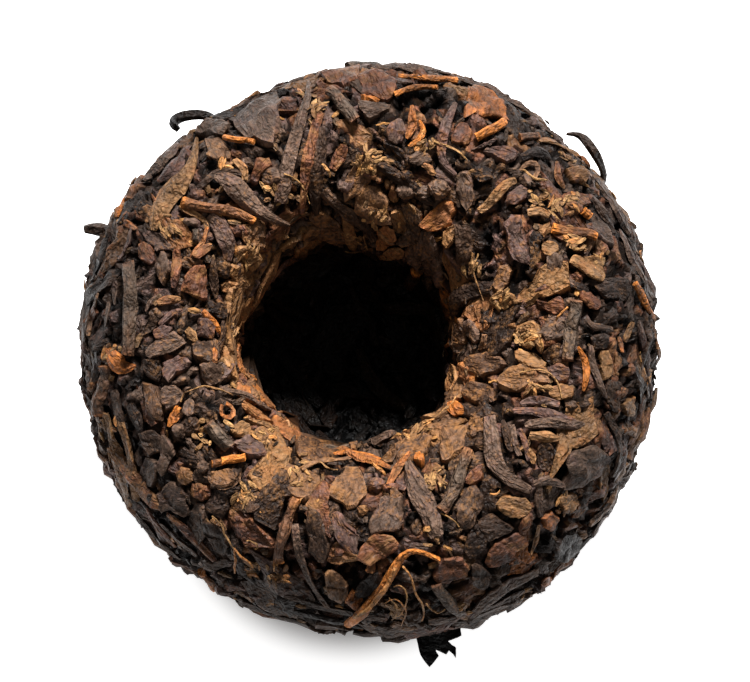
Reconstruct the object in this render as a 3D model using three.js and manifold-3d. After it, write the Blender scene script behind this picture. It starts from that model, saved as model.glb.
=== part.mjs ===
// A bowl-shaped cake of compressed ripe tea. Steamed leaves, stems and buds were pressed in a cloth into
// a thick round cake with a deep hollow, which lies here on its dome with the hollow upwards.
// Millimetres, +Z up. The origin is the middle of the small flat spot that the cake rests on.
import * as THREE from "three";
import { mergeVertices } from "three/addons/utils/BufferGeometryUtils.js";
import Module from "manifold-3d";

// ---- Driving dimensions ----

const CAKE = {
  radius: 40.2, // at its widest, the equator
  height: 40.8, // from the flat spot to the crest of the rim
  footRadius: 12, // the flat spot
  equatorHeight: 26,
  crestRadius: 27.5, // the top of the rim, where the shoulder turns into the lip
  throatRadius: 14.8, // the narrow, upright part of the hollow
  throatHeight: 28,
  hollowFloor: 10, // the thickness of tea left under the hollow
  hollowRoundness: 0.7, // 1 is a round bowl, and less is a hollow with straighter sides
  hollowShift: -3, // the hollow was pressed off centre, along X
};
// The sides of a hand-tied cake and of its hollow are a little out of round: [lobes, size, turn in degrees].
const OUTER_LOBES = [
  [3, 0.55, 60],
  [5, 0.4, 8],
];
const HOLLOW_LOBES = [[5, 0.7, 180]];
const LUMP = { size: 0.45, length: 7 }; // low swellings of the pressed leaf

// Sizes of the pieces that show, each [least, most]
const STEM = { count: 13, length: [7, 12], radius: [0.85, 1.2], sides: 5 };
const STRIP = { count: 57, length: [8, 14], width: [2.2, 3.6], thickness: 1.3, wave: 0.35 };
const FLAKE = { count: 30, length: [6, 11], width: [4.5, 7], thickness: 1, wave: 0.4 };
const KNOT = { count: 14, radius: [1.4, 2.3] };
const EMBED = 0.35; // the share of a piece's thickness that is pressed into the cake

const BODY_RINGS = 30;
const BODY_SEGMENTS = 38;
const LEAST_TURN_RADIUS = 9; // pieces laid by the spiral keep this far from the cake's axis
const SEED = 20;

// ---- Helpers ----

const wasm = await Module();
wasm.setup();

// Repeatable random numbers from 0 to 1.
function seeded(seed) {
  let state = seed;
  return () => {
    state = (state + 0x6d2b79f5) | 0;
    let t = Math.imul(state ^ (state >>> 15), 1 | state);
    t = (t + Math.imul(t ^ (t >>> 7), 61 | t)) ^ t;
    return ((t ^ (t >>> 14)) >>> 0) / 2 ** 32;
  };
}
const random = seeded(SEED);
const between = ([least, most]) => least + (most - least) * random();
const radians = THREE.MathUtils.degToRad;

// Ripples of an outline: the sum of its lobes at an angle.
function lobes(list, angle) {
  return list.reduce((sum, [count, size, turn]) => sum + size * Math.cos(count * (angle - radians(turn))), 0);
}

// ---- The cake's form ----

// Half of the cake's section, from the middle of the flat spot, round the dome, the shoulder and the lip,
// down to the middle of the hollow's floor. Each bend is a quarter of an ellipse, and the last one is
// drawn out towards its corner.
class CakeProfile extends THREE.Curve {
  getPoint(t, target = new THREE.Vector2()) {
    const stretch = Math.min(4, Math.floor(t * 5));
    const turn = (t * 5 - stretch) * (Math.PI / 2);
    const rise = Math.sin(turn);
    const fall = Math.cos(turn);
    const { radius, height, footRadius, equatorHeight, crestRadius } = CAKE;
    const { throatRadius, throatHeight, hollowFloor, hollowRoundness } = CAKE;
    if (stretch === 0) return target.set(footRadius * (t * 5), 0);
    if (stretch === 1)
      return target.set(footRadius + (radius - footRadius) * rise, equatorHeight * (1 - fall));
    if (stretch === 2)
      return target.set(
        crestRadius + (radius - crestRadius) * fall,
        equatorHeight + (height - equatorHeight) * rise,
      );
    if (stretch === 3)
      return target.set(
        crestRadius - (crestRadius - throatRadius) * rise,
        throatHeight + (height - throatHeight) * fall,
      );
    return target.set(
      throatRadius * fall ** hollowRoundness,
      throatHeight - (throatHeight - hollowFloor) * rise ** hollowRoundness,
    );
  }
}
const profile = new CakeProfile();
profile.arcLengthDivisions = 400;
const profileLength = profile.getLength();
const crestAt = nearest((p) => -p.y);
const throatAt = nearest((p) => Math.hypot(p.x - CAKE.throatRadius, p.y - CAKE.throatHeight));

// The place along the profile, from 0 to 1, where a measure of its point is least.
function nearest(measure, from = 0, to = 1) {
  const tries = 600;
  const places = Array.from({ length: tries + 1 }, (_, i) => from + ((to - from) * i) / tries);
  return places.reduce((best, at) =>
    measure(profile.getPointAt(at)) < measure(profile.getPointAt(best)) ? at : best,
  );
}

// A point of the bare cake: at is the place along the profile by length, angle the turn about the axis.
function cakePoint(at, angle) {
  const p = profile.getPointAt(THREE.MathUtils.clamp(at, 0, 1));
  const inHollow = THREE.MathUtils.smoothstep(at, crestAt, throatAt);
  const outside = (1 - inHollow) * (p.x / CAKE.radius) ** 2;
  const inside = inHollow * Math.min(1, p.x / CAKE.throatRadius);
  const r = p.x + outside * lobes(OUTER_LOBES, angle) + inside * lobes(HOLLOW_LOBES, angle);
  return new THREE.Vector3(
    r * Math.cos(angle) + inHollow * CAKE.hollowShift,
    r * Math.sin(angle),
    p.y,
  );
}

function cakeNormal(at, angle) {
  const step = 0.004;
  const along = cakePoint(at + step, angle).sub(cakePoint(at - step, angle));
  const around = cakePoint(at, angle + step).sub(cakePoint(at, angle - step));
  return around.cross(along).normalize();
}

// The swellings of the pressed leaf at a point, in millimetres. They die away towards the flat spot and
// the middle of the hollow.
function lump(p) {
  const k = (2 * Math.PI) / LUMP.length;
  const fromMiddle = Math.hypot(p.x - CAKE.hollowShift, p.y);
  return (
    LUMP.size *
    THREE.MathUtils.smoothstep(p.z, 0, 5) *
    THREE.MathUtils.smoothstep(fromMiddle, 1, 9) *
    (Math.sin(k * (p.x + 0.6 * p.z)) * Math.sin(k * (p.y - 0.4 * p.z) + 1) +
      0.6 * Math.sin(1.9 * k * (p.y + 0.5 * p.x) + 2) * Math.sin(1.7 * k * p.z + 0.3 * p.x))
  );
}

// ---- Solids ----

// A closed geometry as a solid that can be joined to others.
function solidOf(geometry) {
  const bare = geometry.clone();
  bare.deleteAttribute("normal");
  bare.deleteAttribute("uv");
  const merged = mergeVertices(bare, 1e-4);
  return new wasm.Manifold(
    new wasm.Mesh({
      numProp: 3,
      vertProperties: new Float32Array(merged.attributes.position.array),
      triVerts: new Uint32Array(merged.index.array),
    }),
  );
}

function geometryOf(solid) {
  const { numProp, vertProperties, triVerts } = solid.getMesh();
  const points = new Float32Array((vertProperties.length / numProp) * 3);
  for (let i = 0; i < points.length / 3; i++)
    points.set(vertProperties.subarray(i * numProp, i * numProp + 3), i * 3);
  const geometry = new THREE.BufferGeometry();
  geometry.setAttribute("position", new THREE.BufferAttribute(points, 3));
  geometry.setIndex(new THREE.BufferAttribute(triVerts, 1));
  geometry.computeVertexNormals();
  return geometry;
}

function moveVertices(geometry, move) {
  const position = geometry.attributes.position;
  const p = new THREE.Vector3();
  for (let i = 0; i < position.count; i++) {
    p.fromBufferAttribute(position, i);
    position.setXYZ(i, ...move(p));
  }
  return geometry;
}

// The pressed mass that carries the pieces: the profile turned round the axis and swollen into low lumps.
function makeBody() {
  const rings = Array.from({ length: BODY_RINGS + 1 }, (_, i) => i / BODY_RINGS);
  const upright = new THREE.LatheGeometry(
    rings.map((at) => new THREE.Vector2(at === 0 || at === 1 ? 0 : profile.getPointAt(at).x + at, at)),
    BODY_SEGMENTS,
  );
  // The lathe's height holds the place along the profile, and its turn the angle.
  return solidOf(
    moveVertices(upright, (p) => {
      const angle = Math.atan2(p.x, p.z);
      const at = Math.round(p.y * BODY_RINGS) / BODY_RINGS;
      const base = cakePoint(at, angle);
      return base.addScaledVector(cakeNormal(at, angle), at === 1 ? 0 : lump(base));
    }),
  );
}

// ---- Pieces of leaf and stem, each lying along X on the plane z = 0 ----

function makeStem(length = between(STEM.length), radius = between(STEM.radius)) {
  const taper = 0.75 + 0.25 * random();
  const rod = new THREE.CylinderGeometry(radius * taper, radius, length, STEM.sides);
  return moveVertices(rod, (p) => [p.y, -p.x, p.z + radius * (1 - 2 * EMBED)]);
}

// A leaf cut out of a flat outline, whose two faces are split alike, then waved.
function makeLeaf(outline, thickness, wave, waveLength) {
  const leaf = new THREE.ExtrudeGeometry(new THREE.Shape(outline), { depth: thickness, bevelEnabled: false });
  const turn = random() * Math.PI * 2;
  return moveVertices(leaf, (p) => [
    p.x,
    p.y,
    p.z - thickness * EMBED + wave * Math.sin((p.x / waveLength) * Math.PI * 2 + turn + 0.4 * p.y),
  ]);
}

// A long shred: rolled leaf, widest in the middle, with a gentle sideways bend.
function makeStrip(length = between(STRIP.length), width = between(STRIP.width)) {
  const steps = 3;
  const bend = 0.16 * length * (random() - 0.5);
  const side = (sign) =>
    Array.from({ length: steps + 1 }, (_, i) => {
      const share = (2 * i) / steps - 1;
      const half = (width / 2) * (1 - 0.62 * share ** 4) * (0.85 + 0.3 * random());
      return new THREE.Vector2((share * length) / 2, sign * half + bend * (1 - share * share));
    });
  return makeLeaf([...side(-1), ...side(1).reverse()], STRIP.thickness, STRIP.wave, length);
}

// A torn flat piece of leaf: an uneven oval with few corners.
function makeFlake(length = between(FLAKE.length), width = between(FLAKE.width)) {
  const corners = 6 + Math.floor(random() * 2);
  const outline = Array.from({ length: corners }, (_, i) => {
    const angle = ((i + 0.5 * random()) / corners) * Math.PI * 2;
    const reach = 0.85 + 0.25 * random();
    return new THREE.Vector2((length / 2) * reach * Math.cos(angle), (width / 2) * reach * Math.sin(angle));
  });
  return makeLeaf(outline, FLAKE.thickness, FLAKE.wave, 1.4 * length);
}

// A crumpled knot of leaf.
function makeKnot(radius = between(KNOT.radius)) {
  const ball = new THREE.IcosahedronGeometry(radius, 0);
  ball.deleteAttribute("normal");
  ball.deleteAttribute("uv");
  const stretch = [1 + 0.5 * random(), 0.8 + 0.3 * random(), 0.7];
  return moveVertices(mergeVertices(ball), (p) => {
    const uneven = 0.88 + 0.24 * random();
    return [p.x * stretch[0] * uneven, p.y * stretch[1] * uneven, p.z * stretch[2] * uneven];
  });
}

// ---- Laying the pieces on the cake ----

// Bends a piece to lie on the cake at a place along the profile, an angle and a heading, all round its middle.
function lay(geometry, { at, angle, heading, lift = 0 }) {
  const turnRadius = Math.max(LEAST_TURN_RADIUS, profile.getPointAt(at).x);
  return moveVertices(geometry, (p) => {
    const alongProfile = p.x * Math.cos(heading) + p.y * Math.sin(heading);
    const around = p.x * Math.sin(heading) - p.y * Math.cos(heading);
    const there = THREE.MathUtils.clamp(at + alongProfile / profileLength, 0.005, 0.995);
    const base = cakePoint(there, angle + around / turnRadius);
    return base.addScaledVector(cakeNormal(there, angle + around / turnRadius), p.z + lift + lump(base));
  });
}

// Places spread evenly over the cake's surface: equal areas along the profile, and a turn of the golden angle.
function evenPlaces(count) {
  const steps = 400;
  const area = [0];
  for (let i = 1; i <= steps; i++) area.push(area[i - 1] + profile.getPointAt((i - 0.5) / steps).x);
  const goldenAngle = Math.PI * (3 - Math.sqrt(5));
  return Array.from({ length: count }, (_, i) => {
    const wanted = ((i + 0.5) / count) * area[steps];
    const step = area.findIndex((sum) => sum >= wanted);
    return { at: step / steps, angle: i * goldenAngle + 0.3 * random() };
  });
}

function scatteredPieces() {
  const kinds = [
    [makeStem, STEM.count],
    [makeStrip, STRIP.count],
    [makeFlake, FLAKE.count],
    [makeKnot, KNOT.count],
  ];
  const total = kinds.reduce((sum, [, count]) => sum + count, 0);
  const places = evenPlaces(total);
  // Each kind takes its places at its own even step through the list, so that all kinds lie everywhere.
  const order = kinds
    .flatMap(([make, count], kind) =>
      Array.from({ length: count }, (_, i) => ({ make, rank: (i + 0.5) / count + kind * 1e-3 })),
    )
    .sort((a, b) => a.rank - b.rank);
  return order
    .map(({ make }, i) => ({ make, place: { ...places[i], heading: random() * Math.PI } }))
    .filter(({ place }) => profile.getPointAt(place.at).x > LEAST_TURN_RADIUS)
    .map(({ make, place }) => lay(make(), place));
}

// ---- Pieces that stand out of the cake's outline ----

// The place on the shoulder or lip that lies at a distance from the axis.
function topPlace(radius) {
  const equatorAt = nearest((p) => -p.x);
  return nearest((p) => Math.abs(p.x - radius), equatorAt, throatAt);
}

// A tube bent along a curve, for rolled leaf that springs away from the cake.
function makeTube(points, width, thickness) {
  const section = new THREE.Shape(
    [
      [-0.5, -0.3],
      [0, -0.5],
      [0.5, -0.3],
      [0.5, 0.3],
      [0, 0.5],
      [-0.5, 0.3],
    ].map(([x, y]) => new THREE.Vector2(x * thickness, y * width)),
  );
  const path = new THREE.CatmullRomCurve3(points);
  return new THREE.ExtrudeGeometry(section, { steps: 6, bevelEnabled: false, extrudePath: path });
}

// A point at an angle in degrees, a distance out from the axis and a height.
function polar(degrees, distance, height) {
  return new THREE.Vector3(
    distance * Math.cos(radians(degrees)),
    distance * Math.sin(radians(degrees)),
    height,
  );
}

const { radius: R, equatorHeight: WAIST } = CAKE;

// A sprung curl of leaf on the far right shoulder, with daylight behind it.
function makeSprungCurl() {
  const ends = { from: 46, to: 33 };
  const rise = 1;
  return makeTube(
    [
      polar(ends.from, R - 3, WAIST + 9),
      polar(ends.from - 2, R - 0.6, WAIST + 8.6),
      polar((ends.from + ends.to) / 2, R + rise, WAIST + 7),
      polar(ends.to + 1, R, WAIST + 5.5),
      polar(ends.to, R - 2.4, WAIST + 5),
    ],
    1.9,
    0.8,
  );
}

// A hooked curl on the far left shoulder.
function makeHookedCurl() {
  return makeTube(
    [
      polar(125, R - 3.4, WAIST + 9),
      polar(127, R - 0.8, WAIST + 8.4),
      polar(130, R + 0.8, WAIST + 7),
      polar(133, R + 0.6, WAIST + 5.6),
      polar(134.5, R - 2, WAIST + 5),
    ],
    1.8,
    0.9,
  );
}

// A short stub of leaf that points out of the left side.
function makeStub() {
  return makeTube(
    [polar(154, R - 3, WAIST + 6), polar(156, R + 0.3, WAIST + 6), polar(157.5, R + 2.9, WAIST + 6.4)],
    2.2,
    1.5,
  );
}

// A torn dark leaf that hangs out from under the near side. Its outline runs from the left of its root
// round its three ragged points, with x to the right and y outwards from where it leaves the cake.
function makeTornLeaf() {
  const outline = [
    [0, -2.4],
    [0, 0],
    [0.7, 3],
    [1.9, 4.8],
    [3.2, 3.4],
    [2.7, 2.4],
    [4.2, 3.1],
    [5.6, 3.5],
    [5.4, 2.2],
    [4.6, 1.2],
    [6.3, 0.4],
    [6.2, -3.6],
  ].map(([x, y]) => new THREE.Vector2(x, y));
  const thickness = 0.6;
  const left = 6.2;
  const root = -38.9;
  const leaf = new THREE.ExtrudeGeometry(new THREE.Shape(outline), { depth: thickness, bevelEnabled: false });
  return moveVertices(leaf.rotateX(Math.PI), (p) => [
    p.x + left,
    p.y + root,
    p.z + WAIST - 8 + 0.3 * Math.sin(p.x),
  ]);
}

// The largest pieces of the rim, laid where they lie on the real cake: x and y are measured from the axis.
function notedPieces() {
  const at = (x, y, heading, lift = 0) => ({
    at: topPlace(Math.hypot(x, y)),
    angle: Math.atan2(y, x),
    heading: radians(heading) - Math.atan2(y, x) + Math.PI,
    lift,
  });
  return [
    lay(makeStem(11.5, 1.05), at(-33, 6, 92, 0.2)), // long stem beside the left shoulder
    lay(makeStem(7, 1.1), at(-4, 33, -50, 0.2)), // cut stem at the far side
    lay(makeStem(9, 1), at(28, 1, 80, 0.1)), // grey stem on the right
    lay(makeStrip(17, 2.4), at(-10, 25, 78, 0.3)), // long strip that runs into the hollow
    lay(makeStrip(14, 2.2), at(-6.5, 22, 88, 0.1)), // and the one beside it
    lay(makeStrip(13, 2.4), at(11, 30, 74, 0.4)), // pale curved strip at the far side
    lay(makeStrip(12, 2.4), at(-15, 20, -38, 0.2)), // curved strip above the hollow's left
    lay(makeStrip(12, 3), at(6, -24, -62, 0.3)), // strip towards the near edge
    lay(makeStrip(9, 2.2), at(13, -19, 60, 0.3)), // strip beside it
    lay(makeFlake(10.5, 8), at(-14, 30, 10, 0.3)), // broad leaf on the far left
    lay(makeFlake(8, 6.5), at(16, 33, -20, 0.5)), // russet flap on the far right
    lay(makeFlake(9, 8), at(-6, -26, 0, 0.3)), // dark folded leaf at the near side
    lay(makeFlake(8, 5), at(-26, 14, 80, 0.3)), // leaf beside the left of the hollow
    lay(makeFlake(9, 7), at(28, -20, 40, 0.3)), // leaf on the near right
  ];
}

// ---- The cake ----

// Everything below the flat spot is cut off, as the cake was pressed flat there.
function makeGroundBlock() {
  const size = 200;
  return solidOf(new THREE.BoxGeometry(size, size, size).translate(0, 0, -size / 2));
}

function makeCake() {
  const loose = [
    ...scatteredPieces(),
    ...notedPieces(),
    makeSprungCurl(),
    makeHookedCurl(),
    makeStub(),
    makeTornLeaf(),
  ];
  const joined = loose.reduce((cake, piece) => cake.add(solidOf(piece)), makeBody());
  const trimmed = joined.subtract(makeGroundBlock());
  // Sealed hollows between the pieces are filled, and a scrap that touches nothing is dropped.
  const whole = trimmed.decompose().reduce((best, part) => (part.volume() > best.volume() ? part : best));
  const material = new THREE.MeshStandardMaterial({ color: 0x3b2a1f, roughness: 0.62, metalness: 0 });
  const mesh = new THREE.Mesh(geometryOf(whole), material);
  mesh.name = "tea_cake";
  return mesh;
}

const cake = new THREE.Group();
cake.add(makeCake());
export default cake;
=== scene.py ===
import math

import bpy
import numpy as np
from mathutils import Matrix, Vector, kdtree
from mathutils.bvhtree import BVHTree


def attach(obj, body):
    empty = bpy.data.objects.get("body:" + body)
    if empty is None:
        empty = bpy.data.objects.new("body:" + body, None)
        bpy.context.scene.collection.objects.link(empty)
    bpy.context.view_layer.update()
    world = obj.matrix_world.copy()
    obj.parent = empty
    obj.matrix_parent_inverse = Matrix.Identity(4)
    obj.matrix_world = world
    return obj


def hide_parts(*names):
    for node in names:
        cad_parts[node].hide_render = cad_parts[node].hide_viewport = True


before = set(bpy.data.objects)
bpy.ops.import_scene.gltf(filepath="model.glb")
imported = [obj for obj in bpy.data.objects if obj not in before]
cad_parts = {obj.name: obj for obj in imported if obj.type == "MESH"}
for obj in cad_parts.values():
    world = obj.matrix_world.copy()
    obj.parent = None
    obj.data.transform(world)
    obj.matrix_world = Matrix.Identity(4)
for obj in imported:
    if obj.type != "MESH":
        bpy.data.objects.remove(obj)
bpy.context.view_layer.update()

mm = 0.001

# ---- The camera ----
# It looks down into the hollow from 12 degrees off the vertical, with the cake's widest ring a little
# left of and below the middle of the frame.
frame_px = (750, 682)
cake_px = (371, 348)  # the middle of the cake's outline in the frame
px_per_m = 7170
cake_middle = Vector((0, 0, 26 * mm))
camera_tilt = math.radians(12)
camera_distance = 0.42
sensor_width = 36

camera_right = Vector((1, 0, 0))
camera_up = Vector((0, math.cos(camera_tilt), math.sin(camera_tilt)))
camera_back = Vector((0, -math.sin(camera_tilt), math.cos(camera_tilt)))
aim = (
    cake_middle
    + camera_right * (frame_px[0] / 2 - cake_px[0]) / px_per_m
    + camera_up * (cake_px[1] - frame_px[1] / 2) / px_per_m
)
camera_place = aim + camera_back * camera_distance
bpy.ops.object.select_all(action="DESELECT")
bpy.ops.object.camera_add(location=camera_place, rotation=(camera_tilt, 0, 0))
camera = bpy.context.object
camera.name = "camera"
camera.data.sensor_width = sensor_width
camera.data.lens = px_per_m * camera_distance * sensor_width / frame_px[0]
camera.data.clip_start = 0.01
bpy.context.scene.camera = camera


def sight_line(px):
    """The direction in which the camera sees a pixel of its frame."""
    across = (px[0] - frame_px[0] / 2) / px_per_m
    up = (frame_px[1] / 2 - px[1]) / px_per_m
    return (camera_right * across + camera_up * up - camera_back * camera_distance).normalized()


# ---- The pressed mass ----
# Small leaf and dust, steamed and pressed into a thick round cake with a deep hollow. It is drawn up
# ring by ring from the flat spot that the cake rests on, over the dome and the rim and down into the
# hollow, swollen into low lumps, and then cut into small flat leaf that is wedged side by side.
radius = 40.2 * mm
height = 40.8 * mm
foot_radius = 12 * mm
equator_height = 26 * mm
crest_radius = 27.5 * mm
throat_radius = 14.8 * mm
throat_height = 28 * mm
hollow_floor = 10 * mm
hollow_roundness = 0.7  # 1 is a round bowl, and less is a hollow with straighter sides
hollow_shift = -3 * mm
outer_lobes = [(3, 0.55 * mm, 60), (5, 0.4 * mm, 8)]  # lobes, size, turn in degrees
hollow_lobes = [(5, 0.7 * mm, 180)]
lump_size = 0.45 * mm
lump_length = 7 * mm
rings, segments = 58, 104
section_steps = 400  # for each of the section's five parts
relief_grain, relief_size = 5 * mm, 1.1 * mm


def smoothstep(value, low, high):
    share = np.clip((value - low) / (high - low), 0, 1)
    return share * share * (3 - 2 * share)


def section_point(bend):
    """Radius and height of the cake's section. bend goes from 0 at the foot's middle to 5 on the
    hollow's floor."""
    part = min(4, int(bend))
    rise = math.sin((bend - part) * math.pi / 2)
    fall = math.cos((bend - part) * math.pi / 2)
    if part == 0:
        return foot_radius * bend, 0
    if part == 1:
        return foot_radius + (radius - foot_radius) * rise, equator_height * (1 - fall)
    if part == 2:
        return (
            crest_radius + (radius - crest_radius) * fall,
            equator_height + (height - equator_height) * rise,
        )
    if part == 3:
        return (
            crest_radius - (crest_radius - throat_radius) * rise,
            throat_height + (height - throat_height) * fall,
        )
    return (
        throat_radius * fall**hollow_roundness,
        throat_height - (throat_height - hollow_floor) * rise**hollow_roundness,
    )


section = np.array([section_point(bend) for bend in np.linspace(0, 5, 5 * section_steps + 1)])
run = np.concatenate([[0], np.cumsum(np.linalg.norm(np.diff(section, axis=0), axis=1))])
section_share = run / run[-1]
crest_share = section_share[np.argmax(section[:, 1])]
throat_share = section_share[4 * section_steps]


def lobes(shapes, angle):
    return sum(size * np.cos(count * (angle - math.radians(turn))) for count, size, turn in shapes)


def swelling(points):
    """The low lumps of the pressed leaf, which die away towards the flat spot and the hollow's floor."""
    x, y, z = points.T
    k = 2 * math.pi / lump_length
    slow = np.sin(k * (x + 0.6 * z)) * np.sin(k * (y - 0.4 * z) + 1)
    quick = np.sin(1.9 * k * (y + 0.5 * x) + 2) * np.sin(1.7 * k * z + 0.3 * x / mm)
    calm = smoothstep(z, 0, 5 * mm) * smoothstep(np.hypot(x - hollow_shift, y), mm, 9 * mm)
    return lump_size * calm * (slow + 0.6 * quick)


def pick(piece):
    """Selects one piece alone."""
    bpy.ops.object.select_all(action="DESELECT")
    bpy.context.view_layer.objects.active = piece
    piece.select_set(True)


def finish_modifiers(piece):
    """Applies a piece's modifiers in order."""
    pick(piece)
    for modifier in list(piece.modifiers):
        bpy.ops.object.modifier_apply(modifier=modifier.name)


def roughen(piece, grain, strength):
    """Displaces a piece by Blender's cloud texture, its grain and strength in metres."""
    texture = bpy.data.textures.new(piece.name + "_relief", "CLOUDS")
    texture.noise_scale = grain
    relief = piece.modifiers.new("relief", "DISPLACE")
    relief.texture = texture
    relief.texture_coords = "LOCAL"
    relief.strength = strength
    finish_modifiers(piece)


def points_of(piece):
    points = np.empty(len(piece.data.vertices) * 3)
    piece.data.vertices.foreach_get("co", points)
    return points.reshape(-1, 3)


def set_points(piece, points):
    piece.data.vertices.foreach_set("co", points.ravel())
    piece.data.update()


def normals_of(piece):
    normals = np.empty(len(piece.data.vertices) * 3)
    piece.data.vertices.foreach_get("normal", normals)
    return normals.reshape(-1, 3)


def draw_out(name, steps, sides):
    """A closed body of round rings, drawn out ring by ring from its first ring to its last point.
    Each step is a radius, a height and a shift along X."""
    bpy.ops.object.select_all(action="DESELECT")
    first = steps[0]
    bpy.ops.mesh.primitive_circle_add(
        vertices=sides, radius=first[0], fill_type="TRIFAN", location=(first[2], 0, first[1])
    )
    piece = bpy.context.object
    piece.name = name
    bpy.ops.object.transform_apply(location=True, rotation=False, scale=False)
    bpy.ops.object.mode_set(mode="EDIT")
    bpy.ops.mesh.select_all(action="SELECT")
    bpy.ops.mesh.region_to_loop()
    for before, after in zip(steps, steps[1:]):
        move = (after[2] - before[2], 0, after[1] - before[1])
        bpy.ops.mesh.extrude_edges_move(TRANSFORM_OT_translate={"value": move})
        wider = after[0] / before[0]
        bpy.ops.transform.resize(value=(wider, wider, 1), center_override=(after[2], 0, after[1]))
    bpy.ops.mesh.extrude_edges_move()
    bpy.ops.mesh.merge(type="CENTER")
    bpy.ops.mesh.select_all(action="SELECT")
    bpy.ops.mesh.normals_make_consistent(inside=False)
    bpy.ops.object.mode_set(mode="OBJECT")
    return piece


ring_share = np.arange(1, rings) / rings
ring_radius = np.interp(ring_share, section_share, section[:, 0])
ring_height = np.interp(ring_share, section_share, section[:, 1])
ring_in_hollow = smoothstep(ring_share, crest_share, throat_share)
ring_shift = hollow_shift * ring_in_hollow
core = draw_out("pressed_mass", list(zip(ring_radius, ring_height, ring_shift)), segments)

# The sides and the hollow are pressed a little out of round.
points = points_of(core)
nearest_ring = np.argmin(
    np.hypot(
        np.hypot(points[:, :1] - ring_shift, points[:, 1:2]) - ring_radius,
        points[:, 2:3] - ring_height,
    ),
    axis=1,
)
inside = ring_in_hollow[nearest_ring]
out_x = points[:, 0] - ring_shift[nearest_ring]
distance = np.maximum(np.hypot(out_x, points[:, 1]), 1e-6)
angle = np.arctan2(points[:, 1], out_x)
press = (1 - inside) * (distance / radius) ** 2 * lobes(outer_lobes, angle)
press += inside * np.minimum(1, distance / throat_radius) * lobes(hollow_lobes, angle)
points[:, 0] += press * out_x / distance
points[:, 1] += press * points[:, 1] / distance
set_points(core, points)

smooth = core.modifiers.new("smooth", "SUBSURF")
smooth.levels = smooth.render_levels = 2
finish_modifiers(core)
set_points(core, points_of(core) + normals_of(core) * swelling(points_of(core))[:, None])
roughen(core, relief_grain, relief_size)
points = points_of(core)
points[:, 2] = np.maximum(points[:, 2], 0)
set_points(core, points)

# The form that the pieces are pressed against is the mass as it is now.
form = BVHTree.FromPolygons(points.tolist(), [tuple(face.vertices) for face in core.data.polygons])


class Finish:
    """A socket of a material. Sums on it add Math nodes, and node() adds any other node."""

    def __init__(self, material, socket=None):
        self.material, self.socket = material, socket

    def node(self, kind, settings=None, inputs=None, output=0):
        made = self.material.node_tree.nodes.new(kind)
        for name, value in (settings or {}).items():
            if name != "stops":
                setattr(made, name, value)
                continue
            ramp = made.color_ramp.elements
            while len(ramp) < len(value):
                ramp.new(1)
            for stop, (place, colour) in zip(ramp, value):
                stop.position, stop.color = place, (*colour, 1)
        for name, value in (inputs or {}).items():
            if isinstance(value, Finish):
                self.material.node_tree.links.new(value.socket, made.inputs[name])
            else:
                made.inputs[name].default_value = value
        return Finish(self.material, made.outputs[output])

    def maths(self, operation, first, second):
        return self.node("ShaderNodeMath", {"operation": operation}, {0: first, 1: second})

    def __add__(self, other):
        return self.maths("ADD", self, other)

    def __radd__(self, other):
        return self.maths("ADD", other, self)

    def __sub__(self, other):
        return self.maths("SUBTRACT", self, other)

    def __mul__(self, other):
        return self.maths("MULTIPLY", self, other)

    def clamped(self, low, high, to_low=0.0, to_high=1.0):
        """The value moved from the range low to high to another, and kept in it."""
        return self.node("ShaderNodeMapRange", None, {0: self, 1: low, 2: high, 3: to_low, 4: to_high})

    def blended(self, first, second):
        """Two colours, blended by this value."""
        return self.node("ShaderNodeMix", {"data_type": "RGBA"}, {0: self, 6: first, 7: second}, output=2)

    def scaled(self, size):
        """The colour or vector, times a size."""
        return self.node("ShaderNodeVectorMath", {"operation": "SCALE"}, {0: self, "Scale": size})

    def feed(self, shader, name):
        """Links the socket to one of the shader's."""
        self.material.node_tree.links.new(self.socket, shader.inputs[name])


hollow_painted_shade_mm = 4  # how many millimetres deeper the leaf in the hollow counts as sunk, which paints shade there


def in_hollow(points):
    """From 0 on the lip to 1 deep in the hollow, where painted shade makes the leaf nearly black."""
    near_axis = np.hypot(points[:, 0] - hollow_shift, points[:, 1]) < crest_radius
    return near_axis * smoothstep(-points[:, 2], -throat_height - 2 * mm, -throat_height + 11 * mm)


def worn(points):
    """How light the leaf is: 1 on the hollow's lip, and less towards the outside."""
    return 1 - 0.56 * smoothstep(np.hypot(points[:, 0], points[:, 1]), 25 * mm, 37 * mm)


leaf_gloss = 0.14
leaf_roughness = (0.34, 0.72)
sway_scale, mottle_scale, grit_scale = 900.0, 420.0, 2200.0
dust_cover = 0.8  # how much of the leaf's own colour the dust hides where it lies
relief_depth = 0.6 * mm


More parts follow.
